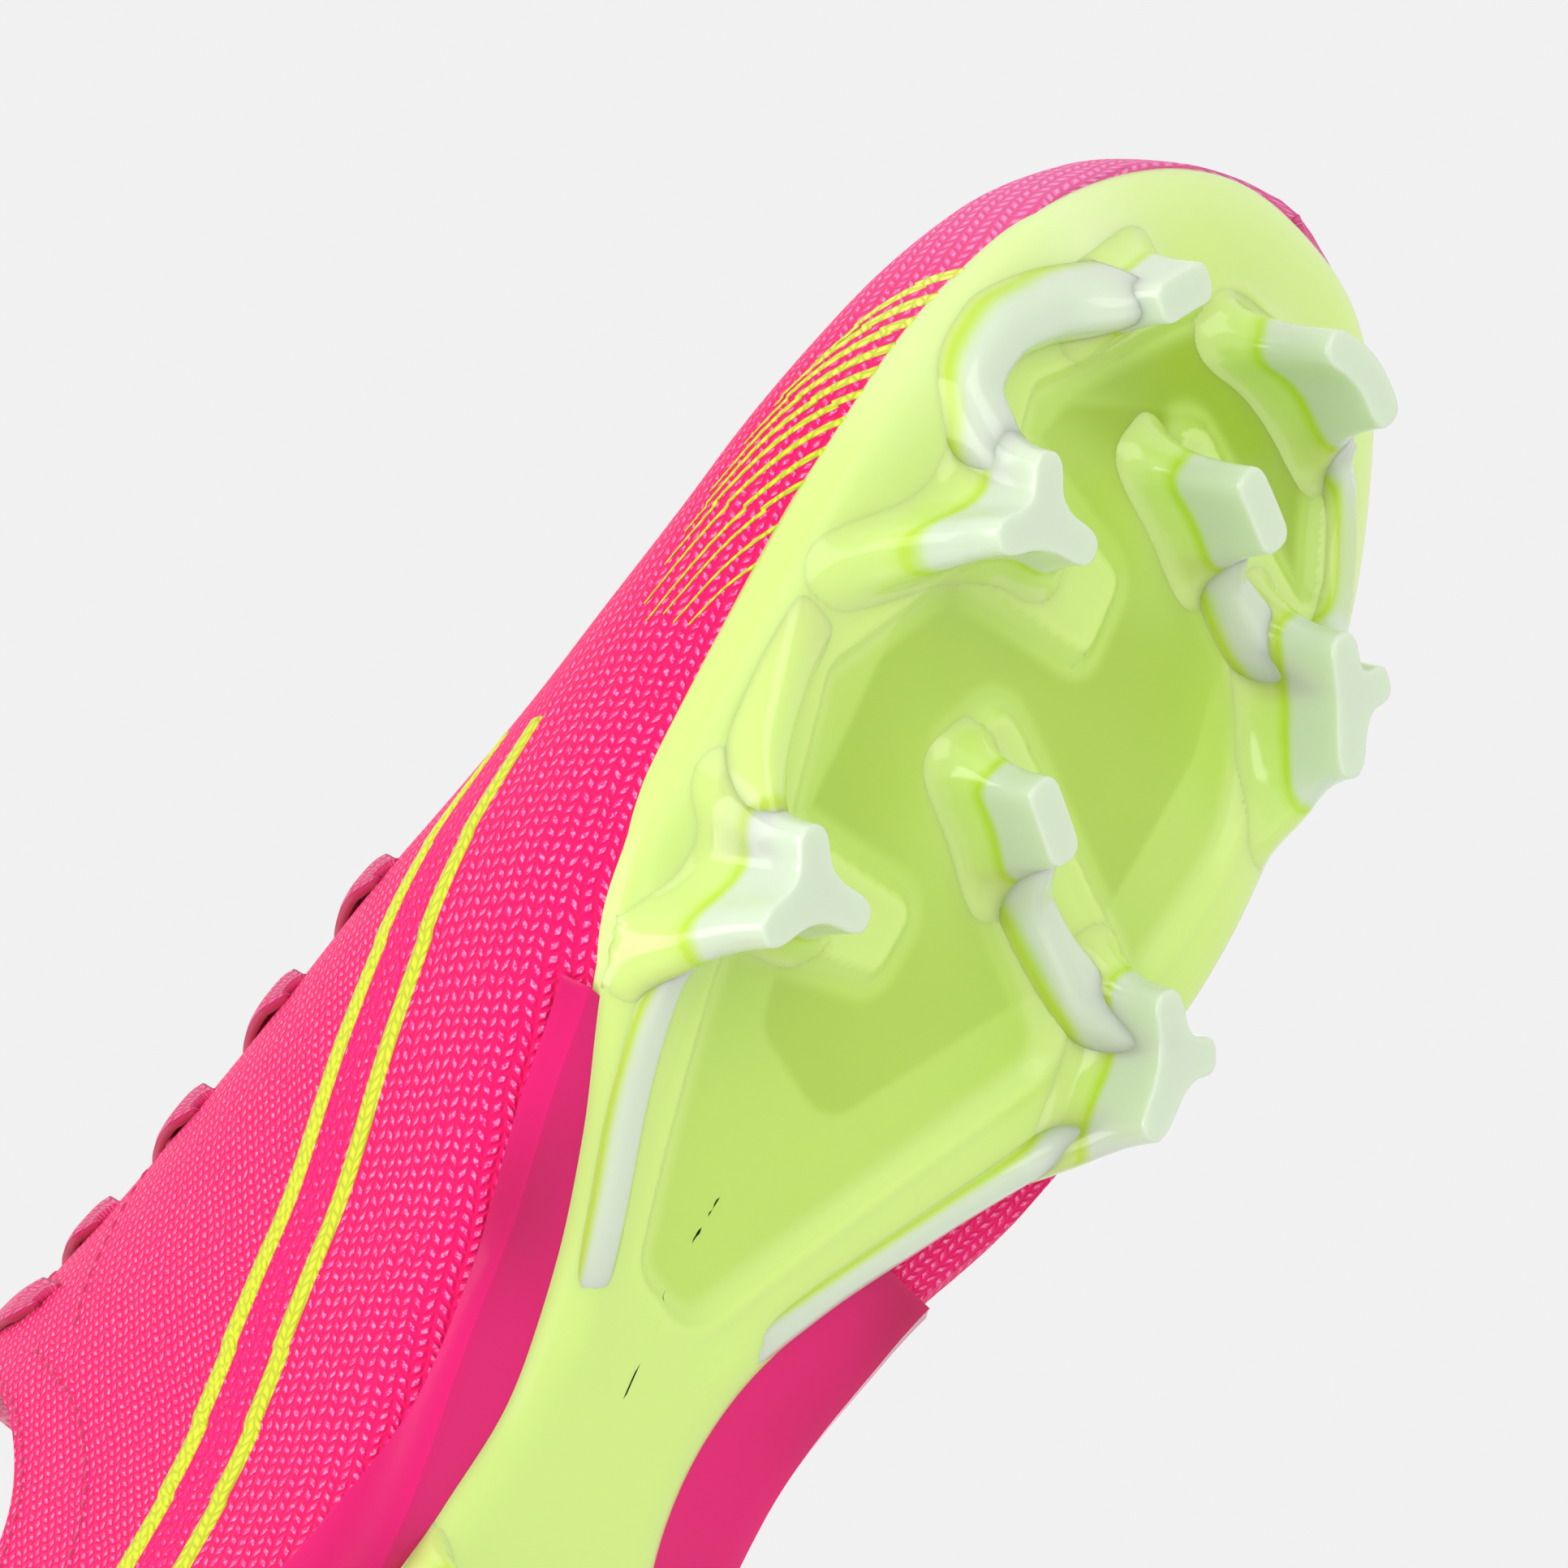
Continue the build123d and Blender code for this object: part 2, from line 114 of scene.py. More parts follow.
def underside(x):
    """Height of the plate's underside along the boot."""
    lift = TOE_SPRING * (np.clip(x - X_BALL, 0, None) / (X_TOE - X_BALL)) ** 2
    lift = lift + ARCH_LIFT * smooth_step((X_BALL - x) / (X_BALL - X_ARCH))
    lift = lift - (ARCH_LIFT - HEEL_RISE) * smooth_step((X_ARCH - 10 - x) / (X_ARCH - 10 - X_HEEL))
    return STUD_HEIGHT + lift


def smooth_table(xs, ys, x):
    """Smooth curve through a short table, without overshoot."""
    xs = np.asarray(xs, float)
    ys = np.asarray(ys, float)
    x = np.clip(x, xs[0], xs[-1])
    width = np.diff(xs)
    slope = np.diff(ys) / width
    tangent = np.concatenate([[slope[0]], np.zeros(len(xs) - 2), [slope[-1]]])
    for i in range(1, len(xs) - 1):
        if slope[i - 1] * slope[i] > 0:
            tangent[i] = 2 * slope[i - 1] * slope[i] / (slope[i - 1] + slope[i])
    i = np.clip(np.searchsorted(xs, x) - 1, 0, len(width) - 1)
    t = (x - xs[i]) / width[i]
    a = (1 + 2 * t) * (1 - t) ** 2 * ys[i]
    b = t * (1 - t) ** 2 * width[i] * tangent[i]
    c = t * t * (3 - 2 * t) * ys[i + 1]
    d = t * t * (t - 1) * width[i] * tangent[i + 1]
    return a + b + c + d


def closed_curve(points, steps):
    """Dense closed curve through the points."""
    p = np.array(points, float)
    n = len(p)
    out = []
    for i in range(n):
        p0, p1, p2, p3 = p[i - 1], p[i], p[(i + 1) % n], p[(i + 2) % n]
        d1 = np.linalg.norm(p1 - p0) ** 0.5
        d2 = np.linalg.norm(p2 - p1) ** 0.5
        d3 = np.linalg.norm(p3 - p2) ** 0.5
        m1 = (p2 - p1) + d2 * ((p1 - p0) / d1 - (p2 - p0) / (d1 + d2))
        m2 = (p2 - p1) + d2 * ((p3 - p2) / d3 - (p3 - p1) / (d2 + d3))
        for t in np.arange(steps) / steps:
            out.append((2 * t**3 - 3 * t**2 + 1) * p1 + (t**3 - 2 * t**2 + t) * m1
                       + (3 * t**2 - 2 * t**3) * p2 + (t**3 - t**2) * m2)
    return np.array(out)


def run_length(points):
    """Length along a line of points, up to each of them."""
    return np.concatenate([[0], np.cumsum(np.linalg.norm(np.diff(points, axis=0), axis=1))])


def sample(points, keys, at):
    """Places on a line of points, whose keys rise along it."""
    return np.stack([np.interp(at, keys, points[:, k]) for k in range(points.shape[1])], axis=-1)


def even_loop(curve, count):
    """Closed curve with evenly spaced points."""
    closed = np.vstack([curve, curve[:1]])
    length = run_length(closed)
    return sample(closed, length, np.linspace(0, length[-1], count, endpoint=False))


def smooth_path(path, steps):
    """Smooth line through a path, its normals in plan and its places between the path's points."""
    p = np.array(path, float)
    at = np.linspace(0, len(p) - 1, steps)
    line = np.stack([smooth_table(np.arange(len(p)), p[:, k], at) for k in range(p.shape[1])], axis=1)
    tangent = np.gradient(line[:, :2], axis=0)
    tangent /= np.linalg.norm(tangent, axis=1, keepdims=True)
    return line, np.stack([-tangent[:, 1], tangent[:, 0]], axis=1), at


def rays(edge, spine):
    """Directions from the points of an edge to those of a spine, and their lengths."""
    reach = np.linalg.norm(spine - edge, axis=1, keepdims=True)
    return (spine - edge) / reach, reach


def rounded_polygon(corners, steps=6):
    """Polygon whose corners (x, y, radius) are arcs."""
    out = []
    n = len(corners)
    for i, (x, y, radius) in enumerate(corners):
        here = np.array([x, y], float)
        before = np.array(corners[i - 1][:2], float) - here
        after = np.array(corners[(i + 1) % n][:2], float) - here
        before = before / np.linalg.norm(before)
        after = after / np.linalg.norm(after)
        half = math.acos(np.clip(before @ after, -1, 1)) / 2
        centre = here + (before + after) / np.linalg.norm(before + after) * radius / math.sin(half)
        start = here + before * radius / math.tan(half) - centre
        end = here + after * radius / math.tan(half) - centre
        a0 = math.atan2(start[1], start[0])
        turn = (math.atan2(end[1], end[0]) - a0 + math.pi) % (2 * math.pi) - math.pi
        for k in range(steps + 1):
            a = a0 + turn * k / steps
            out.append(centre + radius * np.array([math.cos(a), math.sin(a)]))
    return np.array(out)


def signed_distance(points, polygon):
    """Distance to a closed polygon, positive inside."""
    best = np.full(len(points), 1e9)
    inside = np.zeros(len(points), bool)
    for a, b in zip(polygon, np.roll(polygon, -1, axis=0)):
        edge = b - a
        t = np.clip(((points - a) @ edge) / max(edge @ edge, 1e-12), 0, 1)
        best = np.minimum(best, np.linalg.norm(points - a - t[:, None] * edge, axis=1))
        crosses = (a[1] > points[:, 1]) != (b[1] > points[:, 1])
        with np.errstate(divide="ignore", invalid="ignore"):
            at = a[0] + (points[:, 1] - a[1]) * edge[0] / edge[1]
        inside ^= crosses & (points[:, 0] < at)
    return np.where(inside, best, -best)


def path_distance(points, path):
    """Distance to an open path and how far along it, 0 to 1."""
    path = np.array(path, float)
    lengths = np.linalg.norm(np.diff(path, axis=0), axis=1)
    total = lengths.sum()
    best = np.full(len(points), 1e9)
    along = np.zeros(len(points))
    done = 0.0
    for a, b, length in zip(path, path[1:], lengths):
        t = np.clip(((points - a) @ (b - a)) / length**2, 0, 1)
        d = np.linalg.norm(points - a - t[:, None] * (b - a), axis=1)
        along = np.where(d < best, (done + t * length) / total, along)
        best = np.minimum(best, d)
        done += length
    return best, along


# ---------------------------------------------------------------------------
# Mesh helpers
# ---------------------------------------------------------------------------
def add_object(name, data):
    """New object in the scene."""
    made = bpy.data.objects.new(name, data)
    bpy.context.scene.collection.objects.link(made)
    return made


def add_piece(name, points, faces, uv=None, attributes=None):
    """New object at the origin from points in millimetres, faces pointing outwards."""
    mesh = bpy.data.meshes.new(name)
    mesh.from_pydata((np.asarray(points) * MM).tolist(), [], faces)
    mesh.validate()
    mesh.update()
    mesh.polygons.foreach_set("use_smooth", [True] * len(mesh.polygons))
    if uv is not None:
        layer = mesh.uv_layers.new(name="UVMap")
        loops = np.zeros(len(mesh.loops), int)
        mesh.loops.foreach_get("vertex_index", loops)
        layer.data.foreach_set("uv", np.asarray(uv, float)[loops].ravel())
    for key, values in (attributes or {}).items():
        attribute = mesh.attributes.new(key, "FLOAT", "POINT")
        attribute.data.foreach_set("value", np.asarray(values, float))
    return add_object(name, mesh)


def grid_faces(rows, columns, wrap=False, start=0, flip=False):
    """Quads between rows of points; wrap closes each row."""
    faces = []
    last = columns if wrap else columns - 1
    for r in range(rows - 1):
        for c in range(last):
            d = (c + 1) % columns
            quad = [start + r * columns + c, start + r * columns + d,
                    start + (r + 1) * columns + d, start + (r + 1) * columns + c]
            faces.append(quad[::-1] if flip else quad)
    return faces


def settle(piece, body, slot, *nodes):
    """Put a finished piece on its body and hide the CAD nodes it stands for; the slot is not used."""
    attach(piece, body)
    if nodes:
        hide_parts(*nodes)
    return piece


# ---------------------------------------------------------------------------
# The lasted shape: every cloth and cage piece lies on it
# ---------------------------------------------------------------------------
STATION_TABLE = np.array(STATIONS, float)


def station_values(x):
    """Lateral y, medial y, widest height, crown height and crown shift at each x."""
    return [smooth_table(STATION_TABLE[:, 0], STATION_TABLE[:, k], x) for k in range(1, 6)]


def side_curve(x, side, offset, samples=90):
    """Points up one side of the section at x, from under the plate's top to the crown."""
    lateral, medial, wide, crown, shift = [float(v) for v in station_values(x)]
    half = (medial - lateral) / 2
    half -= offset * min(1.0, half / 12)
    middle = (medial + lateral) / 2
    rise = crown - wide
    rise -= offset * min(1.0, max(rise, 0.1) / 14)
    drop = wide - float(underside(np.array(x))) + 8
    low = np.linspace(-math.pi / 2 * 0.97, 0, samples // 2, endpoint=False)
    high = np.linspace(0, math.pi / 2, samples)
    y_low = middle + side * half * np.cos(low) ** 0.6
    z_low = wide + drop * np.sin(low)
    y_high = middle + side * half * np.cos(high) + shift * np.sin(high) ** 2
    z_high = wide + rise * np.sin(high)
    along = x * (X_END - offset) / X_END
    ys = np.concatenate([y_low, y_high])
    zs = np.concatenate([z_low, z_high])
    return np.stack([np.full(len(ys), along), ys, zs], axis=1)


def throat_half(x):
    """Half width of the throat slot at x, round at its front."""
    t = np.clip((THROAT_FRONT[0] - x) / (THROAT_FRONT[0] - THROAT_TOP[0]), 0, 1.3)
    half = THROAT_HALF_FRONT + t * (THROAT_HALF_TOP - THROAT_HALF_FRONT)
    nose = np.clip((THROAT_FRONT[0] - x) / 9.0, 0, 1)
    return half * np.sqrt(1 - (1 - nose) ** 2)


def centre_line(x):
    """Y of the line that the throat and the vamp are centred on."""
    lateral, medial, wide, crown, shift = station_values(np.array([float(x)]))
    crown_y = float((lateral + medial)[0] / 2 + shift[0])
    t = (THROAT_FRONT[0] - x) / (THROAT_FRONT[0] - THROAT_TOP[0])
    slot_y = THROAT_FRONT[1] + t * (THROAT_TOP[1] - THROAT_FRONT[1])
    blend = float(smooth_step(np.array((x - THROAT_FRONT[0]) / 30)))
    if x < THROAT_TOP[0]:
        blend = float(smooth_step(np.array((THROAT_TOP[0] - x) / 20)))
    return slot_y + blend * (crown_y - slot_y)


def topline_height(x, lift=0.0):
    xs, zs = zip(*TOPLINE)
    if x > xs[-1]:
        return 200.0
    return float(smooth_table(xs, zs, np.array(x))) + lift


def crossing_index(values, level):
    """Fractional index at which rising values first reach a level."""
    if values[0] >= level:
        return 0.0
    if values.max() < level:
        return float(len(values) - 1)
    after = int(np.argmax(values >= level))
    return after - 1 + (level - values[after - 1]) / (values[after] - values[after - 1])


def cut_curve(curve, low_z, top, columns):
    """Stretch of a side curve between a height and its top edge, evenly divided."""
    start = crossing_index(curve[:, 2], low_z)
    top = max(top, start + 0.5)
    whole = np.arange(math.floor(start) + 1, math.ceil(top))
    at = np.concatenate([[start], whole, [top]])
    part = sample(curve, np.arange(len(curve)), at)
    length = run_length(part)
    at = np.linspace(0, length[-1], columns)
    return sample(part, length, at), at


def top_index(curve, x, side):
    """Fractional index where a side curve meets the throat, the topline or the crown."""
    if x < THROAT_TOP[0] - 15:
        return crossing_index(curve[:, 2], topline_height(x))
    edge = centre_line(x) + side * float(throat_half(x))
    rising = np.where(curve[:, 2] > 40, -(curve[:, 1] - edge) * side, -99.0)
    return min(crossing_index(rising, 0.0), crossing_index(curve[:, 2], topline_height(x)))


def station_spread(low, high, count):
    """X values that crowd towards the heel and toe ends."""
    s = np.linspace(math.asin(max(low / X_END, -1)), math.asin(min(high / X_END, 1)), count)
    even = np.linspace(low, high, count)
    ends = X_END * np.sin(s)
    return 0.45 * even + 0.55 * ends


def lasted_half(side, offset, low, high, rows, columns, bottom, top_rule, tuck):
    """Grid of points on one side; bottom and top_rule give each station's limits, and tuck turns
    the lower edge in under the foot."""
    points = []
    uv = []
    for x in station_spread(low, high, rows):
        curve = side_curve(float(x), side, offset, 160)
        top = top_rule(curve, float(x), side)
        cut, along = cut_curve(curve, bottom(float(x)), top, columns)
        if tuck:
            turn, length = tucked_edge(cut, along, float(x), side, bottom(float(x)))
            cut = np.concatenate([turn, cut])
            along = np.concatenate([length, along])
        points.append(cut)
        uv.append(np.stack([np.full(len(along), x), along], axis=1))
    return np.array(points), np.array(uv)


PLATE_EDGE = closed_curve(OUTLINE, 8)


def plate_edge(x, side):
    """Y of the plate's edge at x on one side."""
    half = PLATE_EDGE[PLATE_EDGE[:, 1] * side > side * 0.12 * PLATE_EDGE[:, 0]]
    half = half[np.argsort(half[:, 0])]
    return float(np.interp(x, half[:, 0], half[:, 1]))


def tucked_edge(cut, along, x, side, low):
    """Rounded turn from the side to under the plate, and the side pulled in to meet it."""
    rise = 0.3 + 6.5 * float(smooth_step(np.array((18 - x) / 22)))
    lateral, medial = station_values(np.array([x]))[:2]
    reach = max(9.0, (cut[0, 1] - plate_edge(x, side)) * side + 5.0)
    reach = min(reach, 0.4 * float((medial - lateral)[0]))
    inner = cut[0, 1] - side * reach
    near = along < rise
    share = smooth_step(1 - along[near] / rise)
    cut[near, 1] -= side * share * rise * 0.28
    steps = np.linspace(0, 1, 7)[:-1]
    turn = np.repeat(cut[:1], 6, axis=0)
    turn[:, 1] = inner + (cut[0, 1] - inner) * steps
    turn[:, 2] = low - 0.25 * (1 - steps) ** 2
    return turn, -reach * (1 - steps)


def close_ends(points, uv, toe, heel):
    """Add a last row on the centre plane where the shape closes at its ends."""
    rows = [points]
    uvs = [uv]
    if toe:
        tip = points[-1].copy()
        tip[:, 0] += 0.4
        tip[:, 1] = 15.5
        rows.append(tip[None])
        uvs.append(uv[-1:] + np.array([0.5, 0]))
    if heel:
        back = points[0].copy()
        back[:, 0] -= 0.4
        back[:, 1] = -4.2
        rows.insert(0, back[None])
        uvs.insert(0, uv[:1] - np.array([0.5, 0]))
    return np.concatenate(rows), np.concatenate(uvs)


def two_sided_piece(name, offset, low, high, rows, columns, bottom, top_rule,
                    toe=False, heel=False, thickness=1.6, weld=0.05, tuck=False):
    """Shell on both sides of the boot, welded where its halves meet, with real thickness."""
    all_points = []
    all_uv = []
    faces = []
    start = 0
    for side in (-1, 1):
        points, uv = lasted_half(side, offset, low, high, rows, columns, bottom, top_rule, tuck)
        points, uv = close_ends(points, uv, toe, heel)
        uv[..., 1] *= side
        count = points.shape[0]
        width = points.shape[1]
        faces += grid_faces(count, width, start=start, flip=side > 0)
        all_points.append(points.reshape(-1, 3))
        all_uv.append(uv.reshape(-1, 2))
        start += count * width
    piece = add_piece(name, np.concatenate(all_points), faces, uv=np.concatenate(all_uv))
    weld_doubles(piece, weld)
    if thickness:
        thicken(piece, thickness)
    return piece


def weld_doubles(piece, distance):
    """Join points closer than a distance in millimetres, and turn the faces outwards."""
    mesh = bmesh.new()
    mesh.from_mesh(piece.data)
    bmesh.ops.remove_doubles(mesh, verts=mesh.verts, dist=distance * MM)
    bmesh.ops.recalc_face_normals(mesh, faces=mesh.faces)
    mesh.to_mesh(piece.data)
    mesh.free()


def thicken(piece, thickness):
    """Give a sheet its wall, inwards, with closed rims."""
    wall = piece.modifiers.new("Wall", "SOLIDIFY")
    wall.thickness = thickness * MM
    wall.offset = -1
    wall.use_even_offset = False
    wall.use_rim = True
    apply_modifiers(piece)


def apply_modifiers(piece):
    graph = bpy.context.evaluated_depsgraph_get()
    mesh = bpy.data.meshes.new_from_object(piece.evaluated_get(graph))
    piece.modifiers.clear()
    piece.data = mesh


# ---------------------------------------------------------------------------
# Finishes
# ---------------------------------------------------------------------------
RAMP = "ShaderNodeValToRGB"


def colour(code):
    """Linear colour from an sRGB hex value."""
    values = [int(code[i:i + 2], 16) / 255 for i in (1, 3, 5)]
    linear = [v / 12.92 if v <= 0.04045 else ((v + 0.055) / 1.055) ** 2.4 for v in values]
    return (*linear, 1.0)


def tint(value):
    """Colour property of a panel as a shader colour."""
    return (*value[:3], 1.0)


def add_node(tree, kind, inputs=None, stops=(), **settings):
    """Node with its settings; each input is a value or another node's output, and stops are a ramp's."""
    made = tree.nodes.new(kind)
    for key, value in settings.items():
        setattr(made, key, value)
    for key, value in (inputs or {}).items():
        if isinstance(value, bpy.types.NodeSocket):
            tree.links.new(value, made.inputs[key])
        else:
            made.inputs[key].default_value = value
    if stops:
        made.color_ramp.interpolation = "EASE"
        while len(made.color_ramp.elements) < len(stops):
            made.color_ramp.elements.new(0.5)
        for element, (at, shade) in zip(made.color_ramp.elements, stops):
            element.position = at
            element.color = colour(shade) if isinstance(shade, str) else tint(shade)
    return made


def new_finish(name, values=None):
    """Empty node material, its shader and its fixed values."""
    finish = bpy.data.materials.new(name)
    finish.use_nodes = True
    tree = finish.node_tree
    tree.nodes.clear()
    shader = add_node(tree, "ShaderNodeBsdfPrincipled", values)
    out = add_node(tree, "ShaderNodeOutputMaterial")
    tree.links.new(shader.outputs[0], out.inputs["Surface"])
    return finish, tree, shader


def loop_group(name, wale, course, lean, turn):
    """Relief of slanted knit loops: columns of the wale's width, loops of the course's length."""
    group = bpy.data.node_groups.new(name, "ShaderNodeTree")
    group.interface.new_socket("Place", in_out="INPUT", socket_type="NodeSocketVector")
    group.interface.new_socket("Height", in_out="OUTPUT", socket_type="NodeSocketFloat")
    inside = add_node(group, "NodeGroupInput")
    turned = add_node(group, "ShaderNodeVectorRotate", {"Vector": inside.outputs[0], "Angle": turn},
                      rotation_type="Z_AXIS")
    scaled = add_node(group, "ShaderNodeVectorMath",
                      {0: turned.outputs[0], 1: (1 / course, 1 / wale, 0.0)}, operation="MULTIPLY")
    split = add_node(group, "ShaderNodeSeparateXYZ", {0: scaled.outputs[0]})
    column = add_node(group, "ShaderNodeMath", {0: split.outputs[1], 1: 0.5}, operation="PINGPONG")
    slant = add_node(group, "ShaderNodeMath", {0: column.outputs[0], 1: lean, 2: split.outputs[0]},
                     operation="MULTIPLY_ADD")
    phase = add_node(group, "ShaderNodeMath", {0: slant.outputs[0], 1: 0.5}, operation="PINGPONG")
    loop = add_node(group, "ShaderNodeMapRange", {0: phase.outputs[0], 1: 0.0, 2: 0.36},
                    interpolation_type="SMOOTHSTEP")
    edge = add_node(group, "ShaderNodeMath", {0: column.outputs[0], 1: 0.25}, operation="PINGPONG")
    leg = add_node(group, "ShaderNodeMapRange", {0: edge.outputs[0], 1: 0.0, 2: 0.17},
                   interpolation_type="SMOOTHSTEP")
    relief = add_node(group, "ShaderNodeMath", {0: loop.outputs[0], 1: leg.outputs[0]}, operation="MULTIPLY")
    out = add_node(group, "NodeGroupOutput")
    group.links.new(relief.outputs[0], out.inputs[0])
    return group


def knit_relief(tree):
    """Place on the knit in millimetres and its relief: beads up at the instep, V columns low on the side."""
    place = add_node(tree, "ShaderNodeUVMap", uv_map="UVMap").outputs[0]
    drift = add_node(tree, "ShaderNodeTexNoise", {"Vector": place, "Scale": 0.16, "Detail": 2.0})
    bent = add_node(tree, "ShaderNodeVectorMath", {0: drift.outputs["Color"], 1: (1.6, 1.6, 0.0), 2: place},
                    operation="MULTIPLY_ADD")
    vees = add_node(tree, "ShaderNodeGroup", {})
    vees.node_tree = bpy.data.node_groups.get("V_loops") or loop_group("V_loops", 2.7, 1.55, 1.4, 0.12)
    tree.links.new(bent.outputs[0], vees.inputs[0])
    beads = add_node(tree, "ShaderNodeGroup", {})
    beads.node_tree = bpy.data.node_groups.get("Bead_loops") or loop_group("Bead_loops", 2.0, 1.6, 0.9, 0.6)
    tree.links.new(bent.outputs[0], beads.inputs[0])
    split = add_node(tree, "ShaderNodeSeparateXYZ", {0: place})
    height = add_node(tree, "ShaderNodeMath", {0: split.outputs[1]}, operation="ABSOLUTE")
    high = add_node(tree, "ShaderNodeMapRange", {0: height.outputs[0], 1: 24.0, 2: 36.0})
    relief = add_node(tree, "ShaderNodeMix", {0: high.outputs[0], 2: vees.outputs[0], 3: beads.outputs[0]},
                      data_type="FLOAT")
    return place, split.outputs[0], relief.outputs[0]


# Flat-knitted polyester yarn: matte and a little fuzzy, with painted shade in the hollows between its loops
# and a painted glint at each loop's crown
def pink_knit(settings):
    finish, tree, shader = new_finish("Pink_flat_knit_polyester", {
        "Roughness": 0.6, "Sheen Weight": 0.06, "Sheen Roughness": 0.45, "Specular IOR Level": 0.2})
    place, u, relief = knit_relief(tree)
    fuzz = add_node(tree, "ShaderNodeTexNoise",
                    {"Vector": place, "Scale": 2.4, "Detail": 6.0, "Roughness": 0.72})
    # paler towards the toe: painted sheen on the toe box
    toe = add_node(tree, "ShaderNodeMapRange", {0: u, 1: 70.0, 2: 125.0})
    yarn = add_node(tree, RAMP, {"Fac": toe.outputs[0]},
                    [(0, settings.knit), (1, settings.knit_toe_sheen)]).outputs["Color"]
    # painted shade: the yarn darker in the hollows between the loops
    hollow = add_node(tree, RAMP, {"Fac": relief},
                      [(0, "#D81C66"), (0.35, "#FFB4D2"), (1, "#FFFFFF")]).outputs["Color"]
    body = add_node(tree, "ShaderNodeMix", {0: 0.5, 6: yarn, 7: hollow}, data_type="RGBA",
                    blend_type="MULTIPLY")
    # painted glint: pale colour on the crowns of the loops
    lit = add_node(tree, "ShaderNodeMath", {0: relief, 1: fuzz.outputs["Fac"]}, operation="MULTIPLY")
    glint = add_node(tree, "ShaderNodeMapRange", {0: lit.outputs[0], 1: 0.42, 2: 0.66, 3: 0.0, 4: 0.9})
    sparkle = add_node(tree, "ShaderNodeMix",
                       {0: glint.outputs[0], 6: body.outputs[2], 7: tint(settings.knit_glint)},
                       data_type="RGBA")
    tree.links.new(sparkle.outputs[2], shader.inputs["Base Color"])
    lumps = add_node(tree, "ShaderNodeMath", {0: fuzz.outputs["Fac"], 1: 0.5, 2: relief},
                     operation="MULTIPLY_ADD")
    bump = add_node(tree, "ShaderNodeBump", {"Height": lumps.outputs[0], "Strength": 0.62,
                                             "Distance": 0.0008})
    tree.links.new(bump.outputs[0], shader.inputs["Normal"])
    return finish


# Printed polyurethane film on the knit: flat bright yellow, following every loop beneath it, with painted
# shade in the hollows between the loops
def yellow_film(settings):
    finish, tree, shader = new_finish("Yellow_printed_film", {"Roughness": 0.5})
    place, u, relief = knit_relief(tree)
    toe = add_node(tree, "ShaderNodeMapRange", {0: u, 1: 60.0, 2: 125.0})
    film = add_node(tree, RAMP, {"Fac": toe.outputs[0]},
                    [(0, settings.film), (1, settings.film_toe)]).outputs["Color"]
    # painted shade: the film darker in the hollows between the loops
    hollow = add_node(tree, RAMP, {"Fac": relief},
                      [(0, "#C4C63A"), (0.5, "#FFFFFF"), (1, "#FFFFFF")]).outputs["Color"]
    body = add_node(tree, "ShaderNodeMix", {0: 0.6, 6: film, 7: hollow}, data_type="RGBA",
                    blend_type="MULTIPLY")
    tree.links.new(body.outputs[2], shader.inputs["Base Color"])
    bump = add_node(tree, "ShaderNodeBump", {"Height": relief, "Strength": 0.45, "Distance": 0.0006})
    tree.links.new(bump.outputs[0], shader.inputs["Normal"])
    return finish


# Injection-moulded translucent nylon in lime: even soft gloss, paler round the studs and with a painted
# highlight along the rim of the forefoot
def lime_nylon(settings):
    finish, tree, shader = new_finish("Lime_moulded_nylon", {
        "Roughness": 0.28, "IOR": 1.53, "Subsurface Weight": 0.3,
        "Subsurface Radius": (0.004, 0.005, 0.0015), "Subsurface Scale": 1.0})
    tone_and_rim_highlight = add_node(tree, "ShaderNodeAttribute", attribute_name="tone_and_rim_highlight").outputs["Fac"]
    place = add_node(tree, "ShaderNodeTexCoord").outputs["Object"]
    cloud = add_node(tree, "ShaderNodeTexNoise", {"Vector": place, "Scale": 22.0, "Detail": 2.0})
    depth = add_node(tree, "ShaderNodeMath", {0: cloud.outputs["Fac"], 1: 0.12, 2: tone_and_rim_highlight},
                     operation="MULTIPLY_ADD")
    body = add_node(tree, RAMP, {"Fac": depth.outputs[0]},
                    [(0.05, settings.plate_pale_highlight), (0.38, settings.plate), (0.68, settings.window),
                     (0.95, settings.window_dark)]).outputs["Color"]
    tree.links.new(body, shader.inputs["Base Color"])
    return finish


# Clear TPU moulded over the lime core: milky and glossy at the tip, thinning into lime at its root
def milky_tpu(settings):
    finish, tree, shader = new_finish("Milky_overmoulded_TPU", {
        "Roughness": 0.16, "IOR": 1.5, "Subsurface Weight": 0.4,
        "Subsurface Radius": (0.004, 0.005, 0.003), "Subsurface Scale": 1.0,
        "Coat Weight": 0.4, "Coat Roughness": 0.06})
    fade = add_node(tree, "ShaderNodeAttribute", attribute_name="fade").outputs["Fac"]
    body = add_node(tree, RAMP, {"Fac": fade},
                    [(0, settings.cap), (0.45, settings.cap), (0.8, settings.core),
                     (1, settings.plate)]).outputs["Color"]
    tree.links.new(body, shader.inputs["Base Color"])
    return finish


# Injection-moulded pink TPU: deep gloss, with a slow drift of tone where the wall varies
def pink_tpu(settings):
    finish, tree, shader = new_finish("Pink_moulded_TPU", {
        "Roughness": 0.2, "IOR": 1.5, "Specular IOR Level": 0.25, "Subsurface Weight": 0.15,
        "Subsurface Radius": (0.004, 0.001, 0.002), "Subsurface Scale": 1.0,
        "Coat Weight": 0.2, "Coat Roughness": 0.07})
    place = add_node(tree, "ShaderNodeTexCoord").outputs["Object"]
    drift = add_node(tree, "ShaderNodeTexNoise", {"Vector": place, "Scale": 26.0, "Detail": 1.0})
    body = add_node(tree, RAMP, {"Fac": drift.outputs["Fac"]},
                    [(0.35, settings.cage), (0.7, settings.cage_deep)]).outputs["Color"]
    tree.links.new(body, shader.inputs["Base Color"])
    return finish
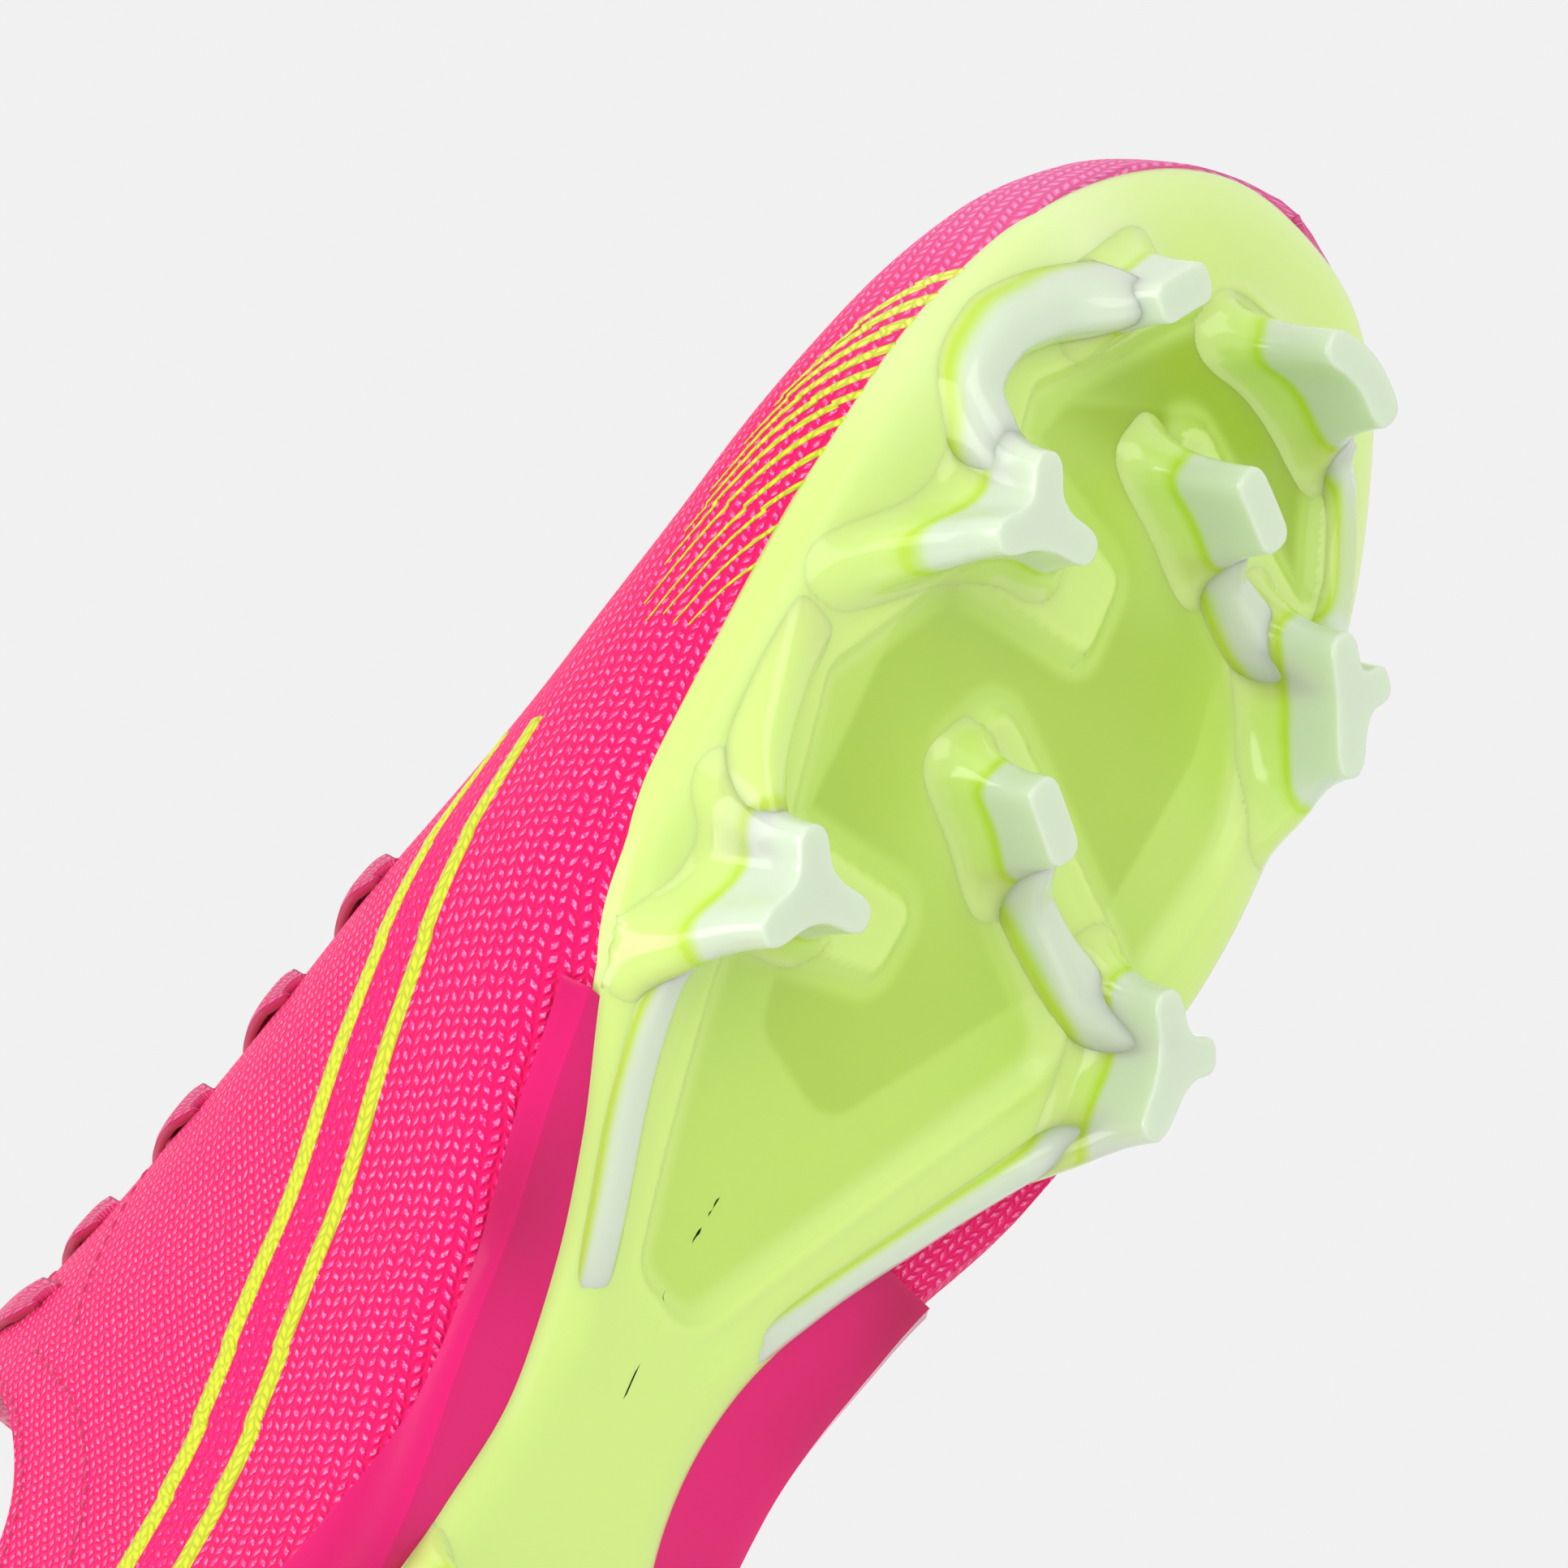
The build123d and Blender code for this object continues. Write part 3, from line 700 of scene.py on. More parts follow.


# Woven polyester tape in pink: fine herringbone, matte with a faint sheen, and painted shade between its
# threads
def woven_lace(settings):
    finish, tree, shader = new_finish("Pink_woven_polyester_tape", {
        "Roughness": 0.6, "Sheen Weight": 0.2, "Sheen Roughness": 0.5})
    place = add_node(tree, "ShaderNodeUVMap", uv_map="UVMap").outputs[0]
    weave = add_node(tree, "ShaderNodeGroup", {})
    weave.node_tree = bpy.data.node_groups.get("Tape_weave") or loop_group("Tape_weave", 1.5, 0.8, 1.0, 0.0)
    tree.links.new(place, weave.inputs[0])
    # painted shade: the tape darker between the threads
    body = add_node(tree, RAMP, {"Fac": weave.outputs[0]},
                    [(0, settings.lace_deep), (0.7, settings.lace)]).outputs["Color"]
    tree.links.new(body, shader.inputs["Base Color"])
    bump = add_node(tree, "ShaderNodeBump", {"Height": weave.outputs[0], "Strength": 0.8,
                                             "Distance": 0.0004})
    tree.links.new(bump.outputs[0], shader.inputs["Normal"])
    return finish


# Brushed polyester tricot: soft and matte; its 0.7 mm grain is drawn coarser than life so that it shows
def tricot(name, code):
    finish, tree, shader = new_finish(name, {
        "Roughness": 0.85, "Sheen Weight": 0.3, "Sheen Roughness": 0.5})
    place = add_node(tree, "ShaderNodeTexCoord").outputs["Object"]
    weave = add_node(tree, "ShaderNodeTexVoronoi", {"Vector": place, "Scale": 1400.0})
    body = add_node(tree, RAMP, {"Fac": weave.outputs["Distance"]},
                    [(0, code), (1, "#FFFFFF")]).outputs["Color"]
    soft = add_node(tree, "ShaderNodeMix", {0: 0.25, 6: colour(code), 7: body}, data_type="RGBA")
    tree.links.new(soft.outputs[2], shader.inputs["Base Color"])
    bump = add_node(tree, "ShaderNodeBump", {"Height": weave.outputs["Distance"], "Strength": 0.5,
                                             "Distance": 0.0003})
    tree.links.new(bump.outputs[0], shader.inputs["Normal"])
    return finish


# Needle-punched polyester board and moulded film: plain and matte, shut inside the boot
def plain_board(name, code, roughness):
    finish, tree, shader = new_finish(name, {"Roughness": roughness})
    place = add_node(tree, "ShaderNodeTexCoord").outputs["Object"]
    fibre = add_node(tree, "ShaderNodeTexNoise", {"Vector": place, "Scale": 600.0, "Detail": 4.0})
    body = add_node(tree, RAMP, {"Fac": fibre.outputs["Fac"]},
                    [(0.2, code), (1, "#FFFFFF")]).outputs["Color"]
    tree.links.new(body, shader.inputs["Base Color"])
    return finish


def coat(piece, finish):
    """Give a piece one finish."""
    piece.data.materials.clear()
    piece.data.materials.append(finish)
    return piece


# ---------------------------------------------------------------------------
# Sole
# ---------------------------------------------------------------------------
# centre, arms as (x, y, extra reach of its root), arm half width, tip height
STUDS = {
    "front_lateral": ((71.5, -23), [(78.3, -27.5, 4), (73.2, -14, 1.5), (65, -28.5, 14)], 2.3, 0),
    "front_medial": ((85, 33), [(90, 26.5, 2), (90.5, 36.8, 3), (77, 38, 6)], 2.3, 0),
    "mid_lateral": ((16.5, -29.5), [(22.3, -34.5, 2.5), (18.5, -20.5, 1.5), (7.5, -33.5, 5)], 2.3, 0),
    "mid_medial": ((34, 32.5), [(39.3, 25.7, 2), (38, 37.4, 3), (23.6, 33.6, 6)], 2.3, 0),
    "toe_lateral": ((108.3, -16.5), [(104.4, -18.8, 2), (112.4, -13.8, 1)], 2.6, 3.5),
    "toe_medial": ((120, 15), [(118.6, 7.5, 2), (117.2, 22.5, 4)], 2.5, 3.5),
    "front_centre": ((93.8, 6.5), [(95.6, 1.5, 1), (91.6, 11.6, 2)], 2.5, 0),
    "mid_centre": ((44.6, -2), [(46.8, -6.6, 1), (42, 3, 2)], 2.6, 0),
    "heel_lateral_front": ((-80, -21), [(-74.5, -24, 6), (-80, -14, 1.5), (-88, -25, 3)], 2.3, 0),
    "heel_lateral_rear": ((-118, -20), [(-111.5, -25, 3), (-116, -12.5, 1.5), (-125.5, -20, 2)], 2.3, 0),
    "heel_medial_front": ((-82, 10), [(-76.5, 11.5, 6), (-83, 3, 1.5), (-90, 15, 2)], 2.3, 0),
    "heel_medial_rear": ((-118, 12), [(-111.5, 16, 3), (-117, 4.5, 1.5), (-125.5, 9, 2)], 2.3, 0),
}
# centre line (x, y, height below the plate), half width, how far its middle has faded to lime
RAILS = {
    "toe_lateral_rail": ([(76.5, -25, 9), (79.8, -29.5, 5.5), (85, -32.6, 3.8), (91.5, -31.3, 3.8),
                          (98.5, -26.5, 4.6), (106, -18.5, 8.5)], 3.1, 0.35),
    "toe_medial_rail": ([(117.5, 22.5, 7), (115, 30, 2.6), (108, 35, 1.6), (100, 37.3, 2.0), (92.5, 37, 6)],
                        1.7, 0.5),
    "front_centre_rail": ([(92, 11, 8), (90, 18, 3.6), (87.5, 25, 3.6), (86, 31, 9)], 2.2, 0.3),
    "mid_lateral_rail": ([(9, -32.5, 8), (3, -31, 2.2), (-8, -27, 1.0), (-22, -21, 0.7), (-36, -16, -0.4)],
                         1.5, 0.3),
    "mid_lateral_ridge": ([(19, -32, 9), (25, -35.5, 6), (33, -37.5, 3.4), (42, -38.2, 1.4), (52, -38, -0.5)],
                          2.4, 1.0),
    "mid_centre_rail": ([(42.5, 2.5, 8), (39.5, 12, 3.2), (36.5, 22, 3.2), (34.5, 30, 9)], 2.2, 0.3),
    "mid_medial_rail": ([(25, 33.5, 8), (17, 30.5, 2.2), (4, 23.5, 1.1), (-10, 15.5, 0.8), (-26, 6.5, -0.4)],
                        1.6, 0.3),
}
CAP_NODES = {
    "stud_cap_toe_front_lateral": (["front_lateral", "toe_lateral"], ["toe_lateral_rail"]),
    "stud_cap_toe_medial": (["toe_medial"], ["toe_medial_rail"]),
    "stud_cap_front_medial": (["front_medial", "front_centre"], ["front_centre_rail"]),
    "stud_cap_mid_lateral": (["mid_lateral"], ["mid_lateral_rail", "mid_lateral_ridge"]),
    "stud_cap_mid_medial": (["mid_medial", "mid_centre"], ["mid_centre_rail", "mid_medial_rail"]),
    "stud_cap_heel_lateral_front": (["heel_lateral_front"], []),
    "stud_cap_heel_lateral_rear": (["heel_lateral_rear"], []),
    "stud_cap_heel_medial_front": (["heel_medial_front"], []),
    "stud_cap_heel_medial_rear": (["heel_medial_rear"], []),
}
RIM_PROFILE = [(0.0, 7.0), (-0.2, 5.2), (0.0, 3.6), (0.35, 2.4), (1.0, 1.5), (2.0, 0.85), (3.2, 0.4),
               (4.6, 0.12), (6.0, 0.0)]


def spine_point(points):
    """Nearest point of the plate's middle line, which its surface rows run towards."""
    line = np.array([(-116.0, -4.5), (-84, -5), (-50, -6), (-24, -7), (10, -5), (50, 0), (100, 6), (120, 12)])
    best = np.full(len(points), 1e9)
    nearest = np.zeros((len(points), 2))
    for a, b in zip(line, line[1:]):
        t = np.clip(((points - a) @ (b - a)) / ((b - a) @ (b - a)), 0, 1)
        q = a + t[:, None] * (b - a)
        d = np.linalg.norm(points - q, axis=1)
        nearest[d < best] = q[d < best]
        best = np.minimum(best, d)
    return nearest


def smooth_ring(values, passes):
    for _ in range(passes):
        values = 0.5 * values + 0.25 * (np.roll(values, 1, axis=0) + np.roll(values, -1, axis=0))
    return values


def sole_relief(points):
    """Height of the underside's relief at plan points (positive is up, into the plate) and its tone, which
    carries a painted highlight along the forefoot rim.
    """
    window = signed_distance(points, rounded_polygon(WINDOW))
    sink = WINDOW_DEPTH * smooth_step((window + 0.4) / 2.2)
    lip = -0.28 * np.exp(-((window + 0.9) / 0.9) ** 2)
    groove = 0.16 * np.exp(-((window - 0.15) / 0.28) ** 2)
    relief = sink + lip + groove
    for (cx, cy), arms, half, tip in STUDS.values():
        for ax, ay, extra in arms:
            root = (cx + (ax - cx) * 1.35, cy + (ay - cy) * 1.35)
            distance, along = path_distance(points, [(cx, cy), root])
            relief = relief - 2.4 * np.exp(-(distance / (half + 2.6)) ** 2 * 1.4)
    for path, half, pale in RAILS.values():
        distance, along = path_distance(points, [p[:2] for p in path])
        relief = relief - 0.55 * np.exp(-(distance / (half + 2.2)) ** 2)
    unit = signed_distance(points, rounded_polygon(AIR_UNIT))
    tone_and_rim_highlight = 0.34 + 0.3 * smooth_step((window - 0.5) / 4) + 0.12 * smooth_step((unit - 3) / 1.5) * (window > 0)
    tone_and_rim_highlight = tone_and_rim_highlight + 0.24 * smooth_step((points[:, 0] - 88) / 14) * (window > 0)
    edge = signed_distance(points, PLATE_EDGE)
    # painted highlight: paler along the bevel of the forefoot rim
    tone_and_rim_highlight = tone_and_rim_highlight - 0.15 * np.exp(-(edge / 9) ** 2) * smooth_step((points[:, 0] - 30) / 60)
    for (cx, cy), arms, half, tip in STUDS.values():
        near = np.hypot(points[:, 0] - cx, points[:, 1] - cy)
        tone_and_rim_highlight = tone_and_rim_highlight - 0.16 * np.exp(-(near / 11) ** 2)
    return relief, tone_and_rim_highlight


def plate_face(plan):
    """Height of the plate's underside, with its relief and its rounded rim."""
    relief, tone_and_rim_highlight = sole_relief(plan)
    inset = signed_distance(plan, PLATE_EDGE)
    rim = np.interp(inset, [0, 0.35, 1.0, 2.0, 3.2, 4.6, 6.0], [3.6, 2.4, 1.5, 0.85, 0.4, 0.12, 0.0])
    rim = rim - 2.5 * np.minimum(inset, 0)
    return underside(plan[:, 0]) + relief * smooth_step(inset / 3) + rim


def make_plate(settings):
    """Sole plate: rounded rim, sunk window, fingers and stud roots, closed on top."""
    around = settings.plate_detail
    inward = around // 11
    edge = even_loop(closed_curve(OUTLINE, 16), around)
    direction, reach = rays(edge, spine_point(smooth_ring(spine_point(edge), 400)))
    rings = []
    tones_and_rim_highlight = []
    for inset, height in RIM_PROFILE:
        plan = edge + direction * inset
        relief, tone_and_rim_highlight = sole_relief(plan)
        share = 1 - height / RIM_PROFILE[0][1]
        rings.append(np.column_stack([plan, underside(plan[:, 0]) + height + relief * share**6]))
        tones_and_rim_highlight.append(tone_and_rim_highlight)
    first = RIM_PROFILE[-1][0]
    for t in np.linspace(0, 1, inward)[1:]:
        plan = edge + direction * (first + (reach - first) * t)
        relief, tone_and_rim_highlight = sole_relief(plan)
        rings.append(np.column_stack([plan, underside(plan[:, 0]) + relief]))
        tones_and_rim_highlight.append(tone_and_rim_highlight)
    top = []
    for inset in (0.0, 1.6, 4.0):
        plan = edge + direction * inset
        lift = RIM_PROFILE[0][1] - (0 if inset < 2 else 2.6)
        top.append(np.column_stack([plan, underside(plan[:, 0]) + lift]))
    for t in (0.5, 1.0):
        plan = edge + direction * (4.0 + (reach - 4.0) * t)
        top.append(np.column_stack([plan, underside(plan[:, 0]) + PLATE]))
    order = top[::-1][:-1] + rings
    points = np.concatenate(order)
    tone_and_rim_highlight = np.concatenate([np.zeros(around)] * (len(top) - 1) + tones_and_rim_highlight)
    faces = grid_faces(len(order), around, wrap=True, flip=False)
    piece = add_piece("sole_plate", points, faces, attributes={"tone_and_rim_highlight": tone_and_rim_highlight})
    weld_doubles(piece, 0.25)
    return piece


def star_contour(stud, grow, arm_share, count):
    """Closed contour of a stud at one level, rounded at its corners."""
    (cx, cy), arms, half, tip = stud
    ordered = sorted(arms, key=lambda p: math.atan2(p[1] - cy, p[0] - cx))
    corners = []
    for i, (ax, ay, extra) in enumerate(ordered):
        angle = math.atan2(ay - cy, ax - cx)
        reach = math.hypot(ax - cx, ay - cy) + grow + extra * arm_share
        ux, uy = math.cos(angle), math.sin(angle)
        wide = half + grow * 0.55
        corners.append((cx + ux * reach + uy * wide, cy + uy * reach - ux * wide))
        corners.append((cx + ux * reach - uy * wide, cy + uy * reach + ux * wide))
        nx, ny, _ = ordered[(i + 1) % len(ordered)]
        following = math.atan2(ny - cy, nx - cx)
        if following <= angle:
            following += 2 * math.pi
        hollow = (angle + following) / 2
        depth = half * (1.3 if len(arms) == 3 else 1.0) + grow * 0.6
        corners.append((cx + math.cos(hollow) * depth, cy + math.sin(hollow) * depth))
    loop = np.array(corners)
    for _ in range(3):
        after = np.roll(loop, -1, axis=0)
        loop = np.stack([loop * 0.78 + after * 0.22, loop * 0.22 + after * 0.78], axis=1).reshape(-1, 2)
    return even_from_start(loop, count, corners[0])


def even_from_start(loop, count, start):
    """Evenly spaced points on a closed loop, beginning at the point nearest the start."""
    first = int(np.argmin(np.linalg.norm(loop - np.array(start), axis=1)))
    return even_loop(np.roll(loop, -first, axis=0), count)


# share of the way from tip to plate, outward growth, share of the arms' extra reach
STUD_LEVELS = [
    (0.0, -0.9, 0.0), (0.0, -0.35, 0.0), (0.02, -0.1, 0.0), (0.06, 0.0, 0.0), (0.2, 0.15, 0.03),
    (0.36, 0.35, 0.10), (0.5, 0.6, 0.22), (0.62, 0.95, 0.38), (0.72, 1.35, 0.54), (0.81, 1.85, 0.70),
    (0.88, 2.4, 0.82), (0.93, 3.1, 0.90), (0.965, 3.9, 0.95), (0.985, 4.8, 1.0), (1.0, 5.9, 1.03),
    (1.02, 6.8, 1.05),
]


def stud_mesh(stud, count=110):
    """Points, faces and fade of one stud, from its flat tip to where it melts into the plate."""
    (cx, cy), arms, half, tip = stud
    points = [np.array([[cx, cy, tip]])]
    fades = [np.zeros(1)]
    for share, grow, arm in STUD_LEVELS:
        plan = star_contour(stud, grow, arm, count)
        for _ in range(40):
            outside = signed_distance(plan, PLATE_EDGE) < 0.4
            plan[outside] = (cx, cy) + (plan[outside] - (cx, cy)) * 0.985
        base = plate_face(plan) + 0.12
        z = tip + (base - tip) * share
        points.append(np.column_stack([plan, z]))
        far = np.clip(np.linalg.norm(plan - np.array([cx, cy]), axis=1) / 16, 0, 1)
        fades.append(smooth_step((share - 0.42 + 0.05 * far) / 0.42) * np.ones(count))
    faces = [[0, 1 + (c + 1) % count, 1 + c] for c in range(count)]
    faces += grid_faces(len(STUD_LEVELS), count, wrap=True, start=1, flip=False)
    return np.concatenate(points), faces, np.concatenate(fades)


def rail_mesh(path, half, pale, columns=18):
    """Points, faces and fade of one rail: a half-round bar on the plate that climbs to its studs."""
    line, normal, at = smooth_path(path, 90)
    rows = []
    fades = []
    for i in range(len(line)):
        a = np.linspace(0, math.pi, columns)
        side = np.cos(a) * (half + 1.5)
        rise = smooth_step(np.sin(a) ** 1.3)
        plan = line[i, :2] + normal[i] * side[:, None]
        base = plate_face(plan) + 0.25
        sunk = min(0.0, float(base[columns // 2] - underside(line[i, 0])))
        z = base - (line[i, 2] + 0.25 + 0.6 * sunk) * rise
        rows.append(np.column_stack([plan, z]))
        middle = pale * smooth_step(np.array(1.6 - abs(1 - 2 * i / len(line)) * 1.6))
        middle = max(middle, (0.2 + 0.8 * pale) * float(smooth_step(np.array(1.5 - line[i, 2] / 3))))
        fades.append(np.clip(middle + 0.7 * (1 - rise), 0, 1))
    faces = grid_faces(len(rows), columns, wrap=True, flip=True)
    count = len(rows) * columns
    faces.append(list(range(columns)))
    faces.append(list(range(count - columns, count))[::-1])
    return np.concatenate(rows), faces, np.concatenate(fades)


def make_cap(node, studs, rails):
    """One overmoulding: its studs and rails as one piece."""
    points = []
    faces = []
    fades = []
    start = 0
    meshes = [stud_mesh(STUDS[name]) for name in studs] + [rail_mesh(*RAILS[name]) for name in rails]
    for part_points, part_faces, part_fade in meshes:
        points.append(part_points)
        faces += [[i + start for i in face] for face in part_faces]
        fades.append(part_fade)
        start += len(part_points)
    name = node.replace("stud_cap", "milky_stud")
    piece = add_piece(name, np.concatenate(points), faces, attributes={"fade": np.concatenate(fades)})
    return piece


# ---------------------------------------------------------------------------
# Upper, print, cage and trim
# ---------------------------------------------------------------------------
def knit_bottom(x):
    return float(underside(np.array(x))) + PLATE - 1.5


def side_point(x, up, side, offset):
    """Point on the upper at x, a given length up its side from the plate."""
    curve = side_curve(x, side, offset, 160)
    start = int(np.argmax(curve[:, 2] >= knit_bottom(x)))
    return sample(curve[start:], run_length(curve[start:]), up)


def ribbon(name, side, path, widths, offset=-0.16, steps=70, across=4):
    """Thin film on the side of the upper along a path of (x, length up the side)."""
    line, normal, at = smooth_path(path, steps)
    wide = np.interp(at, np.linspace(0, at[-1], len(widths)), widths)
    points = []
    uv = []
    for t in np.linspace(-0.5, 0.5, across):
        plan = line + normal * (wide * t)[:, None]
        rise = offset if abs(t) < 0.45 else offset + 0.12
        points.append([side_point(x, up, side, rise) for x, up in plan])
        uv.append(plan * np.array([1, side]))
    points = np.array(points).reshape(-1, 3)
    faces = grid_faces(across, steps, flip=side < 0)
    piece = add_piece(name, points, faces, uv=np.array(uv).reshape(-1, 2))
    weld_doubles(piece, 0.005)
    thicken(piece, 0.1)
    return piece


def make_upper(settings):
    """Knitted upper: one seamless shell with its throat and topline open."""
    rows = settings.knit_detail
    return two_sided_piece("knit_upper", 0.0, -142.4, 142.35, rows, rows // 3, knit_bottom,
                           top_index, toe=True, heel=True, thickness=KNIT, tuck=True)


# x and height of the cage's top edge
CAGE_TOP = [
    (-150, 46), (-135, 44), (-112, 36), (-90, 27), (-70, 22.4), (-53, 20.8), (-38, 21.5),
    (-23, 22.1), (-2, 20.9),
]


def cage_top(curve, x, side):
    xs, zs = zip(*CAGE_TOP)
    return crossing_index(curve[:, 2], float(smooth_table(xs, zs, np.array(x))))


def make_cage(settings):
    """Glossy moulded cage: a wing on each side of the arch and a cup round the heel."""
    piece = two_sided_piece("moulded_cage", -1.9, -142.4, -2.5, 180, 26, lambda x: knit_bottom(x) - 1.0,
                            cage_top, heel=True, thickness=1.2, tuck=True)
    soften(piece, 0.45)
    return piece


def soften(piece, width, segments=2):
    """Round the sharp edges of a hard piece."""
    bevel = piece.modifiers.new("Rounding", "BEVEL")
    bevel.width = width * MM
    bevel.segments = segments
    bevel.limit_method = "ANGLE"
    bevel.angle_limit = math.radians(50)
    apply_modifiers(piece)
    piece.data.polygons.foreach_set("use_smooth", [True] * len(piece.data.polygons))


def band(name, edges, low_offset, high_offset, columns):
    """Solid strip across the boot: edges is a list of (x, low y, high y); it follows the section between
    two offsets."""
    lower = []
    upper = []
    uv = []
    for x, low, high in edges:
        inner = crossing(x, low, high, high_offset, columns)
        outer = crossing(x, low, high, low_offset, columns)
        lower.append(inner)
        upper.append(outer)
        uv.append(np.stack([np.linspace(low, high, columns), np.full(columns, x)], axis=1))
    count = len(edges) * columns
    points = np.concatenate([np.array(upper).reshape(-1, 3), np.array(lower).reshape(-1, 3)])
    faces = grid_faces(len(edges), columns)
    faces += grid_faces(len(edges), columns, start=count, flip=True)
    rim = [c for c in range(columns)]
    rim += [r * columns + columns - 1 for r in range(1, len(edges))]
    rim += [(len(edges) - 1) * columns + c for c in range(columns - 2, -1, -1)]
    rim += [r * columns for r in range(len(edges) - 2, 0, -1)]
    for a, b in zip(rim, rim[1:] + rim[:1]):
        faces.append([a, a + count, b + count, b])
    piece = add_piece(name, points, faces, uv=np.concatenate([np.concatenate(uv)] * 2))
    weld_doubles(piece, 0.001)
    return piece


def crossing(x, low, high, offset, columns):
    """Points over the instep at x between two y values, on the section at that offset."""
    left = side_curve(x, -1, offset, 160)
    right = side_curve(x, 1, offset, 160)
    curve = np.concatenate([left, right[::-1]])
    top = curve[:, 2] > station_values(np.array([x]))[2][0]
    curve = curve[top]
    order = np.argsort(curve[:, 1])
    curve = curve[order]
    fine = np.linspace(low, high, 400 if columns > 1 else 2)
    zs = np.interp(fine, curve[:, 1], curve[:, 2])
    length = np.concatenate([[0], np.cumsum(np.hypot(np.diff(fine), np.diff(zs)))])
    at = np.linspace(0, length[-1], columns)
    ys = np.interp(at, length, fine)
    return np.stack([np.full(columns, curve[0, 0]), ys, np.interp(at, length, zs)], axis=1)


def throat_edges(x, margin):
    half = float(throat_half(np.array(x))) + margin
    middle = centre_line(x)
    return middle - half, middle + half


def make_laces(settings):
    """Flat crossings of the lace, each dipping into its eyelets."""
    pieces = []
    for number, x in enumerate(EYELET_X):
        low, high = throat_edges(x, EYELET_INSET + 1.5)
        low -= LACE_RUN * max(0.0, x - EYELET_X[3]) / (EYELET_X[0] - EYELET_X[3])
        columns = 90
        rows = []
        uv = []
        for s in np.linspace(-1, 1, 9):
            edge = x + s * 3.0
            top = crossing(edge, low, high, -2.2 + 0.6 * s**4, columns)
            t = np.linspace(-1, 1, columns)
            dip = smooth_step((np.abs(t) - 0.9) / 0.1)
            top[:, 0] = x + (top[:, 0] - x) * (1 - 0.5 * dip)
            top[:, 2] -= 2.2 * dip
            rows.append(top)
            uv.append(np.stack([np.linspace(low, high, columns), np.full(columns, s * 3.0)], axis=1))
        faces = grid_faces(len(rows), columns)
        piece = add_piece(f"lace_crossing_{number + 1}", np.array(rows).reshape(-1, 3), faces,
                          uv=np.array(uv).reshape(-1, 2))
        weld_doubles(piece, 0.001)
        thicken(piece, 1.2)
        pieces.append(piece)
    return pieces


def make_tongue(settings):
    """Foam tongue in tricot, slightly puffed between its edges."""
    edges = []
    for x in np.linspace(-49.5, 24.5, 40):
        low, high = throat_edges(x, 3.9)
        edges.append((x, low, high))
    piece = band("tongue_foam", edges, KNIT + 2.25, KNIT + 5.1, 30)
    soften(piece, 1.1, 3)
    return piece


def collar_top(curve, x, side):
    return crossing_index(curve[:, 2], topline_height(x, -1.4))


def make_collar(settings):
    """Foam roll round the ankle, pressed full between knit and lining by a short cloth simulation."""
    piece = two_sided_piece("collar_foam", KNIT + 0.35, -142.0, -62.5, 90, 14, lambda x: 57.0, collar_top,
                            heel=True, thickness=4.4)
    inflate(piece, 4.0, 12, 0.8)
    return piece


def inflate(piece, pressure, frames, most):
    """Let a closed foam piece swell as cloth, and keep the swell within a limit in millimetres."""
    before = np.zeros(len(piece.data.vertices) * 3)
    piece.data.vertices.foreach_get("co", before)
    cloth = piece.modifiers.new("Swell", "CLOTH")
    cloth.settings.use_pressure = True
    cloth.settings.uniform_pressure_force = pressure
    cloth.settings.quality = 5
    cloth.settings.tension_stiffness = 40
    cloth.settings.effector_weights.gravity = 0
    scene = bpy.context.scene
    for number in range(1, frames + 1):
        scene.frame_set(number)
    graph = bpy.context.evaluated_depsgraph_get()
    mesh = piece.evaluated_get(graph).to_mesh()
    after = np.zeros(len(mesh.vertices) * 3)
    mesh.vertices.foreach_get("co", after)
    piece.evaluated_get(graph).to_mesh_clear()
    piece.modifiers.clear()
    scene.frame_set(1)
    move = (after - before).reshape(-1, 3)
    reach = np.linalg.norm(move, axis=1, keepdims=True)
    move *= np.minimum(1, most * MM / np.maximum(reach, 1e-9))
    piece.data.vertices.foreach_set("co", before + move.ravel())
    piece.data.update()


